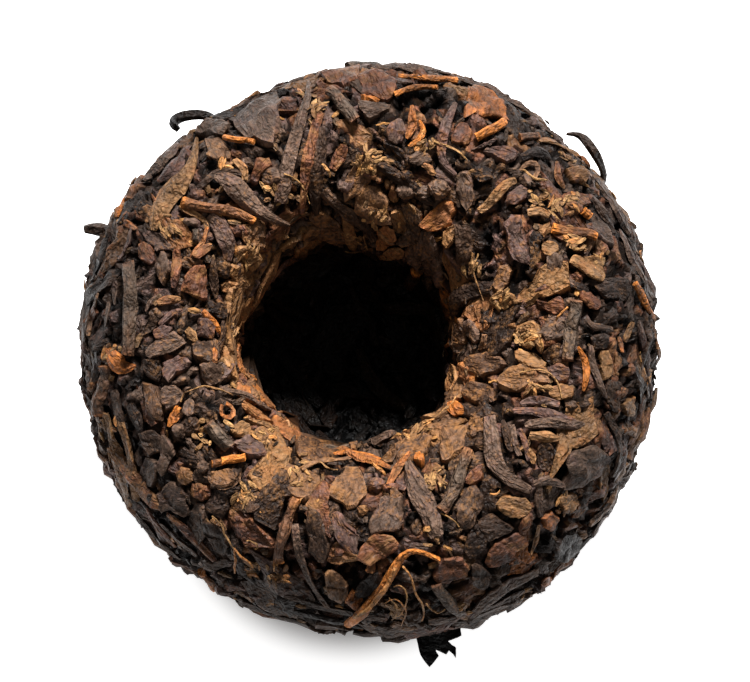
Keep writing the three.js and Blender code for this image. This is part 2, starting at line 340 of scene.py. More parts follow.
def leaf_finish(name, shades, dust, dusty, vein=0.4, vein_stretch=(0.6, 1.6), creased=0.5):
    """Dry fermented leaf: each piece has a shade of its own, veins and creases, and dust in its folds.
    Shade is painted into its colour in its creases, gaps and the hollow, and a highlight on its edges.
    shades are the stops of a ramp over the pieces' tints, and dusty is how much the dust covers."""
    material = bpy.data.materials.new(name)
    material.use_nodes = True
    tree = Finish(material)
    shader = material.node_tree.nodes["Principled BSDF"]
    along = tree.node("ShaderNodeUVMap", {"uv_map": "leaf"})
    spot = tree.node("ShaderNodeTexCoord", output=3)
    tint, sunk, light = (
        tree.node("ShaderNodeAttribute", {"attribute_name": kept}, output=2)
        for kept in ("tint", "sunk", "worn")
    )

    def cloud(scale, detail, roughness=0.5, output=0):
        wanted = {"Vector": spot, "Scale": scale, "Detail": detail, "Roughness": roughness}
        return tree.node("ShaderNodeTexNoise", None, wanted, output)

    def stretched(stretch):
        """The leaf map, stretched along the leaf and across it."""
        return tree.node("ShaderNodeMapping", None, {0: along, 3: (*stretch, 1)})

    def leaf_noise(stretch):
        wanted = {"Vector": stretched(stretch), "Scale": 1.0, "Detail": 3.0, "Roughness": 0.6}
        return tree.node("ShaderNodeTexNoise", {"noise_dimensions": "2D"}, wanted)

    def leaf_creases(stretch):
        """From 0 in a crease to 1 on the facets between creases."""
        sway = cloud(sway_scale, 2.0, output=1).scaled(0.9)
        place = tree.node("ShaderNodeVectorMath", {"operation": "ADD"}, {0: stretched(stretch), 1: sway})
        facets = tree.node(
            "ShaderNodeTexVoronoi",
            {"voronoi_dimensions": "2D", "feature": "DISTANCE_TO_EDGE"},
            {"Vector": place, "Scale": 1.0},
        )
        return facets.clamped(0, 0.4)

    veins = leaf_noise(vein_stretch)
    wrinkles = leaf_noise((0.8, 1.4))
    creases = leaf_creases((0.45, 0.7)) * 0.6 + leaf_creases((1.1, 1.6)) * 0.4
    mottle = cloud(mottle_scale, 4.0, 0.65)
    grit = cloud(grit_scale, 2.0)

    shade = tree.node("ShaderNodeValToRGB", {"stops": shades}, {0: tint + (mottle - 0.5) * 0.9})
    # Painted shade: darker colour in the creases, lighter on the facets; veins and grit vary it too.
    painted_light_and_grain = (veins * 0.3 + grit * 0.5 + creases * 0.45).clamped(0.3, 0.95, 0.4, 2.0)
    # Painted highlight: the colour is lighter on the leaf's jutting edges.
    edge_highlight = tree.node("ShaderNodeNewGeometry", output=7).clamped(0.52, 0.62)
    painted_light_and_grain = painted_light_and_grain * (0.86 + edge_highlight * 0.8)
    shade = shade.scaled(painted_light_and_grain * light)
    patches = (mottle * 0.45 + wrinkles * 0.25 + grit * 0.3) + (light - 0.7) * 0.12
    patches = patches.clamped(0.62 - dusty * 0.3, 0.74 - dusty * 0.3)
    dust_shade = tree.node("ShaderNodeVectorMath", {"operation": "SCALE"}, {0: dust, "Scale": light})
    shade = (patches * dust_cover).blended(shade, dust_shade)
    # Painted shade: the lower a point is sunk, in the gaps and deep in the hollow, the darker its colour.
    deep = sunk.clamped(-0.9, 0.1, 0.12, 1) * sunk.clamped(-4, -0.9, 0.04, 1)
    shade.scaled(deep).feed(shader, "Base Color")
    shader.inputs["Specular IOR Level"].default_value = leaf_gloss
    (wrinkles + grit * 0.4).clamped(0.4, 0.95, *leaf_roughness).feed(shader, "Roughness")
    relief = veins * vein + wrinkles * 0.6 + creases * creased + grit * 0.15
    bump = {"Strength": 1.0, "Distance": relief_depth, "Height": relief}
    tree.node("ShaderNodeBump", None, bump).feed(shader, "Normal")
    return material


def cake_frame(spot, heading):
    """The cake's surface at a spot: the point, the way out, and a heading turned from the way round the
    cake towards the way up its section."""
    on, out, _, _ = form.find_nearest(Vector(spot))
    around = Vector((0, 0, 1)).cross(out)
    if around.length < 0.1:
        around = Vector((1, 0, 0)).cross(out)
    around.normalize()
    along = out.cross(around)
    way = around * math.cos(heading) + along * math.sin(heading)
    return np.array(on), np.array(out), np.array(way), np.array(out.cross(way))


bundle_size = 9 * mm


def lie_of_leaf(place):
    """Leaves lie in bundles: their heading swings slowly from place to place, and outside it follows the
    cake round."""
    x, y, z = np.array(place) / bundle_size
    swing = 2.2 * math.sin(x + 1.3 * z) * math.cos(y - 0.7 * z) + 0.8 * math.sin(2.1 * y + x)
    edge = smoothstep(np.hypot(place[0], place[1]), 33 * mm, 39 * mm)
    return swing * (1 - 0.8 * edge)


def even_places(count, draw):
    """Places spread evenly over the cake, on a spiral of equal areas."""
    stray_along, stray_round = 0.007, 0.1
    area = np.concatenate([[0], np.cumsum((section[1:, 0] + section[:-1, 0]) / 2 * np.diff(run))])
    share = np.interp((np.arange(count) + 0.5) / count * area[-1], area, section_share)
    share = np.clip(share + draw.normal(0, stray_along, count), 0.01, 0.985)
    turn = np.arange(count) * math.pi * (3 - math.sqrt(5)) + draw.normal(0, stray_round, count)
    r = np.interp(share, section_share, section[:, 0])
    z = np.interp(share, section_share, section[:, 1])
    shift = hollow_shift * smoothstep(share, crest_share, throat_share)
    spots = np.column_stack([r * np.cos(turn) + shift, r * np.sin(turn), z])
    return spots[draw.permutation(count)]


def keep_values(mesh, values):
    """Keeps a value of each kind for every point, which the leaf's finish reads."""
    for kind, value in values.items():
        mesh.attributes.new(kind, "FLOAT", "POINT").data.foreach_set("value", value)


# Its surface is leaf too: flat pieces wedged side by side, with each a little higher at one edge.
wedge_count = 2600
wedge_level = -0.12 * mm
wedge_neighbours = 14
wedge_ridge = 0.16 * mm
most_tilt = 0.5 * mm  # how far a wedged piece's edge stands above or below its middle
gap_depth = 1.3 * mm
gap_foot, gap_brow = 0.04 * mm, 0.5 * mm  # how far from the next piece its edge starts and ends
wedge_draw = np.random.default_rng(12)
wedges = kdtree.KDTree(wedge_count)
wedge_frames = []
for i, place in enumerate(even_places(wedge_count, wedge_draw)):
    on, _, way, side = cake_frame(place, lie_of_leaf(place) + wedge_draw.normal(0, 0.6))
    wedges.insert(on, i)
    wedge_frames.append((on, way, side))
wedges.balance()
wedge_on, wedge_way, wedge_side = (np.array(part) for part in zip(*wedge_frames))
wedge_size = wedge_draw.uniform(0, 1, wedge_count) ** 1.5
wedge_long = (1.6 + 4.2 * wedge_size) * mm
wedge_wide = (0.8 + 1.7 * wedge_size) * mm
wedge_tint = wedge_draw.uniform(0, 1, wedge_count)
wedge_lift = wedge_level + wedge_draw.normal(0, 0.15 * mm, wedge_count)
wedge_tilt = wedge_draw.normal(0, 0.22, wedge_count)
wedge_pitch = wedge_draw.normal(0, 0.1, wedge_count)
wedge_fold = wedge_draw.uniform(0.25, 0.5, wedge_count) * mm

points = points_of(core)
near = np.array([[found[1] for found in wedges.find_n(point, wedge_neighbours)] for point in points])
offset = points[:, None] - wedge_on[near]
x = np.einsum("pnk,pnk->pn", offset, wedge_way[near])
y = np.einsum("pnk,pnk->pn", offset, wedge_side[near])
far = np.hypot(x / wedge_long[near], y / wedge_wide[near])
order = np.argsort(far, axis=1)
each = np.arange(len(points))
own = near[each, order[:, 0]]
x, y = x[each, order[:, 0]], y[each, order[:, 0]]
apart = (far[each, order[:, 1]] - far[each, order[:, 0]]) * wedge_wide[own]
up = wedge_lift[own] + np.clip(wedge_tilt[own] * y + wedge_pitch[own] * x, -most_tilt, most_tilt)
up += wedge_ridge * (1 - 2 * np.abs(np.sin(y / wedge_fold[own] + own + 0.8 * np.sin(x / (1.5 * mm)))))
up = (up + gap_depth) * np.sqrt(smoothstep(apart, gap_foot, gap_brow)) - gap_depth
points = points + normals_of(core) * up[:, None]
points[:, 2] = np.maximum(points[:, 2], 0)
set_points(core, points)
bpy.ops.object.shade_smooth()
corner_point = np.empty(len(core.data.loops), dtype=np.int32)
core.data.loops.foreach_get("vertex_index", corner_point)
leaf_map = np.column_stack([x, y]) / mm + 7 * own[:, None]
core.data.uv_layers.new(name="leaf").data.foreach_set("uv", leaf_map[corner_point].ravel())
# sunk sets the painted shade: the lower a point lies, in the gaps and in the hollow, the darker it is.
wedge_sunk = up / mm + 0.4 - hollow_painted_shade_mm * in_hollow(points)
keep_values(core.data, {"tint": wedge_tint[own], "sunk": wedge_sunk, "worn": worn(points)})

near_black, dark, grey, purple, red, tan = 0, 0.3, 0.5, 0.68, 0.85, 1
dark_shades = [
    (near_black, (0.016, 0.0095, 0.007)),
    (dark, (0.044, 0.024, 0.015)),
    (grey, (0.092, 0.056, 0.038)),
    (purple, (0.082, 0.047, 0.039)),
    (red, (0.13, 0.048, 0.022)),
    (tan, (0.185, 0.088, 0.036)),
]
leaf_dust = (0.225, 0.104, 0.037)
core.data.materials.append(leaf_finish("pressed_mass", dark_shades, leaf_dust, dusty=0.22))
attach(core, "root")
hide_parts("tea_cake")


# ---- Dark leaves that lie open ----
# Whole leaves and torn flaps that the press laid flat on the rim: each is level on top, with a steep
# edge and low folds across it, and the smaller leaf fits itself round it.
def leaf_pillow(name, draw, sides, rings_out, shoulder, crumple):
    """A round pillow, one in radius: its top is one high, and its edge turns down to its root.
    shoulder is how far out towards the edge the top stays level."""
    steps = [(far, math.sqrt(max(0, 1 - far ** (2 + 7 * shoulder))), 0) for far in rings_out]
    steps += [(0.97, -1, 0)]
    pillow = draw_out(name, steps, sides)
    roughen(pillow, grain=0.7, strength=crumple)
    points = points_of(pillow)
    points[:, :2] += draw.normal(0, 0.015, (len(points), 2))
    faces = [tuple(face.vertices) for face in pillow.data.polygons]
    bpy.data.objects.remove(pillow)
    return {"points": points, "faces": faces, "corners": np.concatenate(faces)}


def settle(spots, up):
    """Points at their heights over the cake's surface nearest to them."""
    settled = np.empty((len(spots), 3))
    for i, spot in enumerate(spots):
        on, out, _, _ = form.find_nearest(Vector(spot))
        settled[i] = on + out * up[i]
    return settled


root_depth = 1.3 * mm  # how far a leaf's edge reaches down between its neighbours


def lay_leaf(row, shape):
    """Points, leaf map and heights of one pillow, stretched in each direction to fit its place."""
    x, y, z = shape["points"].T
    turn = np.arctan2(y, x)
    turns = np.arange(len(row["reach"])) * math.tau / len(row["reach"])
    far = np.hypot(x, y) * np.interp(turn, turns, row["reach"], period=math.tau)
    x, y = far * np.cos(turn), far * np.sin(turn)
    spots = row["on"] + np.outer(x, row["way"]) + np.outer(y, row["side"])
    high = np.clip(z, 0, None)
    up = row["lift"] + high * row["thickness"] + np.clip(z, None, 0) * root_depth
    top = np.clip(high * 3, 0, 1)
    up += top * (row["tilt"] * y + row["pitch"] * x)
    start = 40 * row["tint"]
    slant = 1.2 * math.sin(3 * start)
    across = y * math.cos(slant) + x * math.sin(slant)
    ahead = x * math.cos(slant) - y * math.sin(slant)
    fold_turn = across / row["fold"] + start + 0.8 * np.sin(ahead / (1.1 * mm) + 2 * start)
    folds = 1 - 2 * np.abs(np.sin(fold_turn))
    up += top * row["ridge"] * (folds + 0.6 * np.sin(ahead / (0.6 * mm) - across / (0.9 * mm) + start))
    return settle(spots, up), np.column_stack([x, y])[shape["corners"]] / mm, up


sharp_angle = math.radians(35)


class Pieces:
    """Gathers laid pieces of one kind, and joins them into one mesh with each piece's tint, the heights
    of its points and its leaf map."""

    def __init__(self):
        self.points, self.faces, self.maps, self.tints, self.heights, self.count = [], [], [], [], [], 0

    def add(self, laid, faces, tint):
        points, leaf_map, heights = laid
        self.points.append(points)
        self.faces += [tuple(corner + self.count for corner in face) for face in faces]
        self.maps.append(leaf_map)
        self.tints.append(np.zeros(len(points)) + tint)
        self.heights.append(heights)
        self.count += len(points)

    def lay(self, lay_on, row, shapes, draw, tips=0.0):
        """Lays one of a few shapes as its row says. tips is how much its two ends differ in tint."""
        shape = shapes[draw.integers(len(shapes))]
        ends = smoothstep(np.abs(shape["points"][:, 0]), 0.38, 0.5)
        self.add(lay_on(row, shape), shape["faces"], row["tint"] + tips * ends)

    def join(self, name, material, slot):
        points = np.concatenate(self.points)
        points[:, 2] = np.maximum(points[:, 2], 0)
        # The heights become sunk, which paints shade: lower points and the hollow come out darker.
        tint, sunk = np.concatenate(self.tints), np.concatenate(self.heights) / mm
        sunk -= hollow_painted_shade_mm * in_hollow(points)
        mesh = bpy.data.meshes.new(name)
        mesh.from_pydata(points.tolist(), [], self.faces)
        mesh.uv_layers.new(name="leaf").data.foreach_set("uv", np.concatenate(self.maps).ravel())
        keep_values(mesh, {"tint": tint, "sunk": sunk, "worn": worn(points)})
        mesh.materials.append(material)
        piece = bpy.data.objects.new(name, mesh)
        bpy.context.scene.collection.objects.link(piece)
        pick(piece)
        bpy.ops.object.shade_smooth_by_angle(angle=sharp_angle)
        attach(piece, "root")
        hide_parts("tea_cake")


taken = []  # points on the cake that the larger pieces cover


def cover(row):
    """Notes where a pillow covers the cake."""
    turns = np.arange(len(row["reach"])) * math.tau / len(row["reach"])
    for far in (0, 0.3, 0.55, 0.75, 0.92):
        for turn, reach in zip(turns, row["reach"]):
            x, y = far * reach * math.cos(turn), far * reach * math.sin(turn)
            taken.append(row["on"] + x * row["way"] + y * row["side"])


def abreast(px, spot):
    """The point that a pixel shows as far from the camera as a spot."""
    ahead = sight_line(px)
    return camera_place + ahead * ((spot - camera_place).dot(camera_back) / ahead.dot(camera_back))


def on_cake(px):
    """The place on the cake that a pixel of the photograph's frame shows, or the one nearest to it."""
    on, _, _, _ = form.ray_cast(camera_place, sight_line(px))
    if on is None:
        on, _, _, _ = form.find_nearest(abreast(px, cake_middle))
    return np.array(on)


# Black pockets between the leaves, which nothing fills, as the photograph shows them: their places and
# a size in pixels.
pockets_px = {
    "long pocket at the far side": ([(400, 101), (413, 98), (428, 107), (437, 100), (429, 131)], 9),
    "pocket right of the grey strip": ([(452, 154)], 8),
    "pocket right of the hollow": ([(484, 226), (494, 226), (484, 240), (484, 255)], 9),
    "pocket under the rounded leaf": ([(344, 565), (353, 566), (363, 567)], 7),
    "pocket right of the near fork": ([(410, 559), (417, 571)], 8),
}
# The pockets sink the mass, and the sunk value with it, which deepens its painted shade there.
pocket_depth = 2.2 * mm
pockets = [(on_cake(px), size / px_per_m) for places, size in pockets_px.values() for px in places]
taken += [spot for spot, _ in pockets]


def in_pocket(points):
    """How deep points lie in a pocket, from 0 outside to 1 in its middle."""
    deep = np.zeros(len(points))
    for spot, size in pockets:
        apart = np.linalg.norm(points - spot, axis=1)
        deep = np.maximum(deep, 1 - smoothstep(apart, 0.5 * size, 1.1 * size))
    return deep


traced_directions = np.arange(24) * math.tau / 24
open_thickness, open_ridge = 0.35 * mm, 0.08 * mm


def traced_leaf(outline, tint, draw, lift):
    """A row for a leaf whose outline is drawn in the photograph's frame. Its midrib runs along its
    longest way."""
    corners = np.array([on_cake(px) for px in outline])
    on, out, way, side = cake_frame(on_cake(np.mean(outline, axis=0)), 0)
    flat = np.column_stack([(corners - on) @ way, (corners - on) @ side])
    spread = np.linalg.eigh(np.cov(flat.T))[1][:, 1]
    way = way * spread[0] + side * spread[1]
    side = np.cross(out, way)
    flat = np.column_stack([(corners - on) @ way, (corners - on) @ side])
    reach = []
    for turn in traced_directions:
        ray = np.array([math.cos(turn), math.sin(turn)])
        hits = [0.4 * mm]
        for start, end in zip(flat, np.roll(flat, -1, axis=0)):
            edge = end - start
            cross = ray[0] * edge[1] - ray[1] * edge[0]
            if abs(cross) > 1e-12:
                far = (start[0] * edge[1] - start[1] * edge[0]) / cross
                share = (start[0] * ray[1] - start[1] * ray[0]) / cross
                if far > 0 and 0 <= share <= 1:
                    hits.append(far)
        reach.append(max(hits))
    reach = np.array(reach) * draw.uniform(0.95, 1.07, len(reach))
    return {
        "on": on, "way": way, "side": side, "reach": reach, "tint": tint,
        "lift": draw.uniform(*lift), "thickness": open_thickness, "tilt": draw.normal(0, 0.04),
        "pitch": draw.normal(0, 0.05), "fold": draw.uniform(0.25, 0.5) * mm, "ridge": open_ridge,
    }


def open_leaves(outlines_px, shapes, draw, lift):
    """Traced leaves of one kind, which keep the smaller leaf out of their places."""
    pieces = Pieces()
    for outline, tint in outlines_px.values():
        row = traced_leaf(outline, tint, draw, lift)
        cover(row)
        pieces.lay(lay_leaf, row, shapes, draw)
    return pieces


dark_leaves_px = {
    "flap at the far left": (
        [(212, 113), (239, 96), (262, 86), (281, 84), (287, 100), (286, 118), (282, 145), (275, 153),
        (258, 141), (232, 138), (230, 120)], grey),
    "leaf tucked under the flap": ([(209, 118), (230, 125), (228, 133), (209, 135), (190, 133)], grey),
    "red leaf beside the flap": (
        [(257, 158), (272, 157), (274, 166), (262, 172), (259, 184), (248, 183)], red),
    "leaf left of the long strips": (
        [(261, 169), (272, 165), (281, 168), (282, 180), (271, 186), (262, 181)], grey),
    "crumpled leaf on the far rim, left": (
        [(318, 68), (330, 63), (345, 62), (360, 66), (357, 80), (340, 89), (326, 85), (312, 79)], red),
    "crumpled leaf on the far rim, right": (
        [(358, 72), (376, 65), (387, 71), (397, 80), (394, 92), (386, 102), (371, 101), (357, 96)], red),
    "grey leaf below it": (
        [(355, 99), (372, 103), (387, 101), (390, 108), (377, 116), (369, 121), (363, 113), (357, 108)],
        grey),
    "leaf in the dark pocket": (
        [(384, 128), (393, 119), (402, 118), (405, 130), (402, 142), (396, 145), (387, 140)], purple),
    "leaf below the curls": (
        [(407, 157), (418, 151), (431, 153), (433, 162), (420, 166), (408, 165)], grey),
    "red leaf right of the grey curl": (
        [(450, 144), (451, 136), (458, 123), (469, 120), (474, 132), (468, 144)], red),
    "crumpled leaf under the orange stick": (
        [(482, 143), (491, 145), (508, 147), (519, 150), (517, 160), (507, 163), (493, 157),
        (481, 150)], purple),
    "knob leaf": ([(474, 168), (484, 165), (493, 170), (492, 180), (481, 184), (474, 178)], near_black),
    "standing leaf": ([(457, 170), (466, 160), (472, 176), (474, 205), (463, 211), (456, 192)], grey),
    "purple leaf by the ring": (
        [(500, 210), (508, 196), (520, 185), (529, 187), (527, 198), (514, 208)], purple),
    "purple flat strip": (
        [(504, 214), (521, 213), (526, 236), (529, 256), (534, 271), (526, 271), (513, 268),
        (507, 245)], purple),
    "flat brown leaf near the right edge": (
        [(566, 168), (580, 165), (589, 174), (586, 183), (572, 182)], tan),
    "wrinkled red leaf at the left": (
        [(138, 244), (150, 240), (158, 246), (158, 262), (146, 266), (138, 258)], red),
    "red flake at the hollow": (
        [(190, 265), (203, 264), (208, 281), (207, 302), (198, 298), (185, 292), (178, 291),
        (184, 278)], red),
    "leaf wrapped round the stem end": (
        [(214, 238), (210, 251), (197, 262), (187, 260), (200, 247)], tan),
    "green-grey leaf": ([(163, 249), (170, 256), (170, 271), (163, 286), (158, 278), (157, 261)], grey),
    "leaf by the vertical stem": ([(153, 330), (163, 325), (172, 327), (168, 338), (156, 341)], purple),
    "slanting leaf": (
        [(142, 353), (157, 339), (174, 330), (188, 342), (174, 351), (157, 357), (145, 361)], grey),
    "purple leaf at the hollow's left": (
        [(198, 318), (207, 317), (214, 328), (211, 339), (200, 336)], purple),
    "leaf below the slanting one": (
        [(162, 361), (177, 355), (191, 359), (189, 366), (176, 374), (170, 382), (162, 371)], purple),
    "crumpled leaf left of the lip": (
        [(199, 365), (209, 361), (221, 366), (221, 383), (209, 387), (201, 378)], grey),
    "small leaf above it": (
        [(191, 345), (205, 342), (220, 348), (221, 360), (206, 363), (193, 357)], dark),
    "dark lump 1": ([(139, 433), (155, 428), (162, 436), (163, 452), (150, 458), (142, 447)], dark),
    "dark lump 2": (
        [(163, 434), (174, 440), (177, 450), (171, 460), (165, 474), (158, 484), (155, 470),
        (161, 456)], grey),
    "dark lump 3": ([(137, 470), (147, 458), (158, 461), (157, 478), (150, 489), (139, 487)], grey),
    "green-grey leaf at the left": (
        [(160, 388), (175, 384), (184, 394), (180, 405), (166, 410), (160, 400)], grey),
    "green-grey diamond": (
        [(189, 397), (195, 402), (194, 415), (188, 420), (183, 414), (184, 404)], grey),
    "purple leaf by the yellow patch": (
        [(234, 440), (246, 436), (262, 444), (266, 456), (250, 457), (236, 449)], purple),
    "smooth grey leaf": (
        [(153, 496), (167, 483), (181, 487), (193, 495), (193, 517), (182, 516), (170, 512),
        (158, 511)], grey),
    "smooth dark leaf": (
        [(203, 518), (216, 514), (224, 528), (232, 548), (226, 560), (212, 546), (204, 532)], dark),
    "rounded leaf, left half": (
        [(305, 508), (327, 507), (329, 522), (327, 537), (331, 546), (328, 561), (318, 563), (308, 551),
        (303, 533)], dark),
    "rounded leaf, right half": (
        [(331, 508), (352, 515), (362, 522), (364, 533), (357, 549), (350, 561), (334, 563), (334, 545),
        (330, 530)], purple),
    "red leaf by the fork": (
        [(357, 558), (366, 537), (376, 531), (393, 533), (401, 539), (397, 549), (381, 561),
        (367, 566)], red),
    "brown leaf above it": (
        [(368, 522), (381, 498), (388, 492), (402, 498), (404, 515), (401, 532), (387, 531),
        (369, 539)], grey),
    "glossy dark leaf": (
        [(352, 598), (362, 580), (374, 568), (384, 560), (383, 580), (372, 592), (360, 604)], near_black),
    "flat red flake": (
        [(431, 573), (446, 553), (465, 559), (470, 567), (467, 577), (450, 583), (438, 585)], red),
    "dark leaf beside it": ([(470, 561), (482, 566), (492, 575), (484, 590), (468, 585)], dark),
    "big dusty lump": (
        [(561, 475), (563, 462), (569, 453), (585, 447), (606, 450), (610, 460), (601, 476), (585, 489),
        (565, 490)], grey),
    "wrinkled dark leaf": (
        [(455, 508), (463, 486), (476, 484), (484, 492), (484, 507), (476, 517), (473, 529), (464, 532),
        (455, 523)], dark),
    "lined dark leaf": (
        [(477, 520), (493, 513), (514, 527), (512, 532), (496, 540), (489, 544), (480, 532)], dark),
    "long red-brown leaf": (
        [(484, 557), (494, 543), (512, 535), (527, 532), (527, 544), (515, 552), (507, 563),
        (488, 568)], red),
    "red triangle": ([(482, 462), (483, 478), (472, 486), (463, 482), (472, 470)], red),
    "dark leaf at the lower right": (
        [(555, 545), (566, 533), (580, 532), (582, 545), (570, 560), (556, 562)], near_black),
    "leaf inside the right lip": (
        [(462, 322), (470, 318), (480, 326), (481, 338), (472, 346), (463, 338)], grey),
    "red leaf, right": (
        [(533, 297), (547, 304), (562, 294), (566, 298), (565, 310), (555, 316), (543, 311),
        (534, 303)], red),
    "red leaf by the grey stem": (
        [(578, 290), (590, 292), (601, 301), (601, 310), (590, 309), (581, 300)], red),
    "olive leaf": ([(547, 257), (556, 252), (564, 258), (562, 270), (552, 275), (546, 267)], grey),
    "leaf under the grey stem": (
        [(549, 367), (560, 363), (571, 369), (568, 381), (556, 385), (549, 378)], purple),
    "leaf below that": ([(549, 388), (562, 384), (574, 388), (573, 397), (558, 401), (549, 397)], tan),
}
open_rings = [0.16, 0.34, 0.52, 0.69, 0.83, 0.93, 1.0]
draw = np.random.default_rng(21)
open_shapes = [
    leaf_pillow("open_leaf_form", draw, 24, open_rings, shoulder=3.0, crumple=0.08) for _ in range(5)
]
dark_open = open_leaves(dark_leaves_px, open_shapes, draw, lift=(-0.05 * mm, 0.25 * mm))
finish = leaf_finish("dark_open_leaf", dark_shades, leaf_dust, dusty=0.25, vein=0.6, creased=0.2)
dark_open.join("dark_open_leaf", finish, "pressed_leaf")


# ---- Brown leaves that lie open ----
# Leaves that fermented less or kept their dust, from rust to gold. They were laid flat in the same
# pressing, which smoothed the ones round the hollow most.
umber, brown, gold, rust, orange = 0, 0.35, 0.6, 0.85, 1
brown_shades = [
    (umber, (0.070, 0.037, 0.022)),
    (brown, (0.135, 0.069, 0.036)),
    (gold, (0.20, 0.103, 0.043)),
    (rust, (0.20, 0.072, 0.028)),
    (orange, (0.40, 0.125, 0.024)),
]
brown_dust = (0.25, 0.110, 0.037)
brown_leaves_px = {
    "wrinkled cluster under the flap": (
        [(204, 141), (220, 138), (230, 146), (231, 158), (216, 163), (204, 160)], brown),
    "rust flap on the far rim": (
        [(462, 93), (472, 86), (484, 86), (500, 98), (507, 110), (508, 122), (493, 118), (472, 112),
        (460, 106)], rust),
    "pressed leaf at the hollow's far side": (
        [(354, 190), (372, 184), (388, 196), (392, 224), (365, 226), (355, 212)], brown),
    "rust leaf at the hollow's far side": (
        [(416, 225), (431, 211), (449, 199), (455, 210), (450, 226), (432, 232)], rust),
    "golden olive spot": ([(234, 250), (246, 241), (259, 242), (262, 258), (254, 272), (238, 268)], gold),
    "gold flake 1": ([(541, 245), (548, 240), (557, 243), (559, 251), (552, 257), (543, 254)], gold),
    "gold leaf at the right": (
        [(572, 253), (581, 258), (592, 248), (601, 252), (603, 270), (606, 282), (590, 282), (577, 275),
        (568, 266)], gold),
    "gold tangle 1": ([(510, 322), (530, 318), (548, 335), (546, 352), (530, 350), (512, 340)], gold),
    "gold tangle 2": ([(514, 352), (535, 350), (549, 362), (540, 370), (520, 366), (510, 362)], gold),
    "gold crumple": ([(489, 293), (502, 288), (516, 293), (514, 307), (500, 310), (490, 305)], gold),
    "smooth brown leaf, right of the hollow": (
        [(497, 374), (520, 364), (546, 370), (547, 384), (520, 392), (498, 389)], brown),
    "smooth rust leaf inside it": (
        [(462, 362), (485, 352), (503, 353), (505, 366), (480, 378), (460, 376)], umber),
    "golden oval": ([(600, 350), (608, 351), (613, 365), (611, 378), (604, 381), (600, 366)], gold),
    "brown leaf by the lip": (
        [(440, 424), (453, 424), (466, 431), (464, 449), (450, 465), (440, 461)], brown),
    "orange knob on the lip": (
        [(447, 404), (455, 399), (463, 404), (462, 414), (454, 417), (448, 412)], orange),
    "lit round leaf": (
        [(495, 501), (504, 496), (526, 498), (532, 504), (531, 513), (520, 518), (510, 518),
        (498, 510)], gold),
    "orange-brown leaf": ([(557, 497), (570, 494), (581, 492), (578, 505), (568, 513), (559, 513)], gold),
    "orange-brown leaf below it": ([(543, 519), (556, 509), (561, 517), (550, 534), (543, 530)], rust),
    "gold scale at the right": ([(621, 404), (634, 397), (634, 416), (626, 418)], gold),
    "dusty leaf at the near lip, left": (
        [(280, 461), (296, 466), (324, 472), (328, 481), (315, 498), (301, 501), (290, 497),
        (279, 487)], brown),
    "dusty leaf at the near lip, right": (
        [(323, 495), (333, 478), (345, 465), (357, 466), (364, 478), (368, 494), (356, 510), (342, 508),
        (333, 503)], brown),
    "dusty leaf at the near side": (
        [(324, 570), (338, 570), (348, 584), (348, 596), (339, 604), (328, 597)], brown),
    "rust band on the hollow's left lip": (
        [(237, 383), (250, 386), (268, 398), (271, 409), (256, 404), (240, 396)], rust),
    "tan knot leaf": ([(229, 431), (240, 420), (250, 425), (252, 436), (240, 437)], gold),
    "yellow patch": ([(252, 432), (262, 426), (271, 434), (272, 448), (262, 454), (254, 444)], brown),
    "yellow-brown patch": (
        [(232, 490), (246, 480), (258, 484), (264, 500), (258, 512), (242, 514), (232, 506)], umber),
    "olive leaf at the left": (
        [(140, 388), (154, 385), (160, 397), (163, 415), (160, 428), (147, 428), (146, 410)], umber),
    "band on the near lip": (
        [(272, 414), (286, 418), (300, 430), (306, 444), (294, 442), (278, 430)], rust),
    "band left of the hollow": ([(246, 384), (256, 384), (266, 398), (260, 404), (250, 400)], brown),
    "smooth leaf on the near lip": (
        [(296, 440), (314, 436), (330, 450), (326, 462), (308, 462), (298, 452)], umber),
    "smooth leaf on the near lip, right": (
        [(392, 452), (408, 440), (424, 432), (436, 436), (430, 450), (410, 462), (396, 464)], umber),
    "smooth leaf right of the hollow": (
        [(462, 384), (480, 382), (494, 390), (492, 402), (474, 404), (462, 396)], umber),
    "orange scale": ([(413, 452), (420, 450), (425, 458), (422, 465), (414, 462)], orange),
}
brown_open = open_leaves(brown_leaves_px, open_shapes, draw, lift=(-0.1 * mm, 0.15 * mm))
finish = leaf_finish("brown_open_leaf", brown_shades, brown_dust, dusty=0.35, vein=0.6, creased=0.2)
brown_open.join("brown_open_leaf", finish, "brown_leaf")


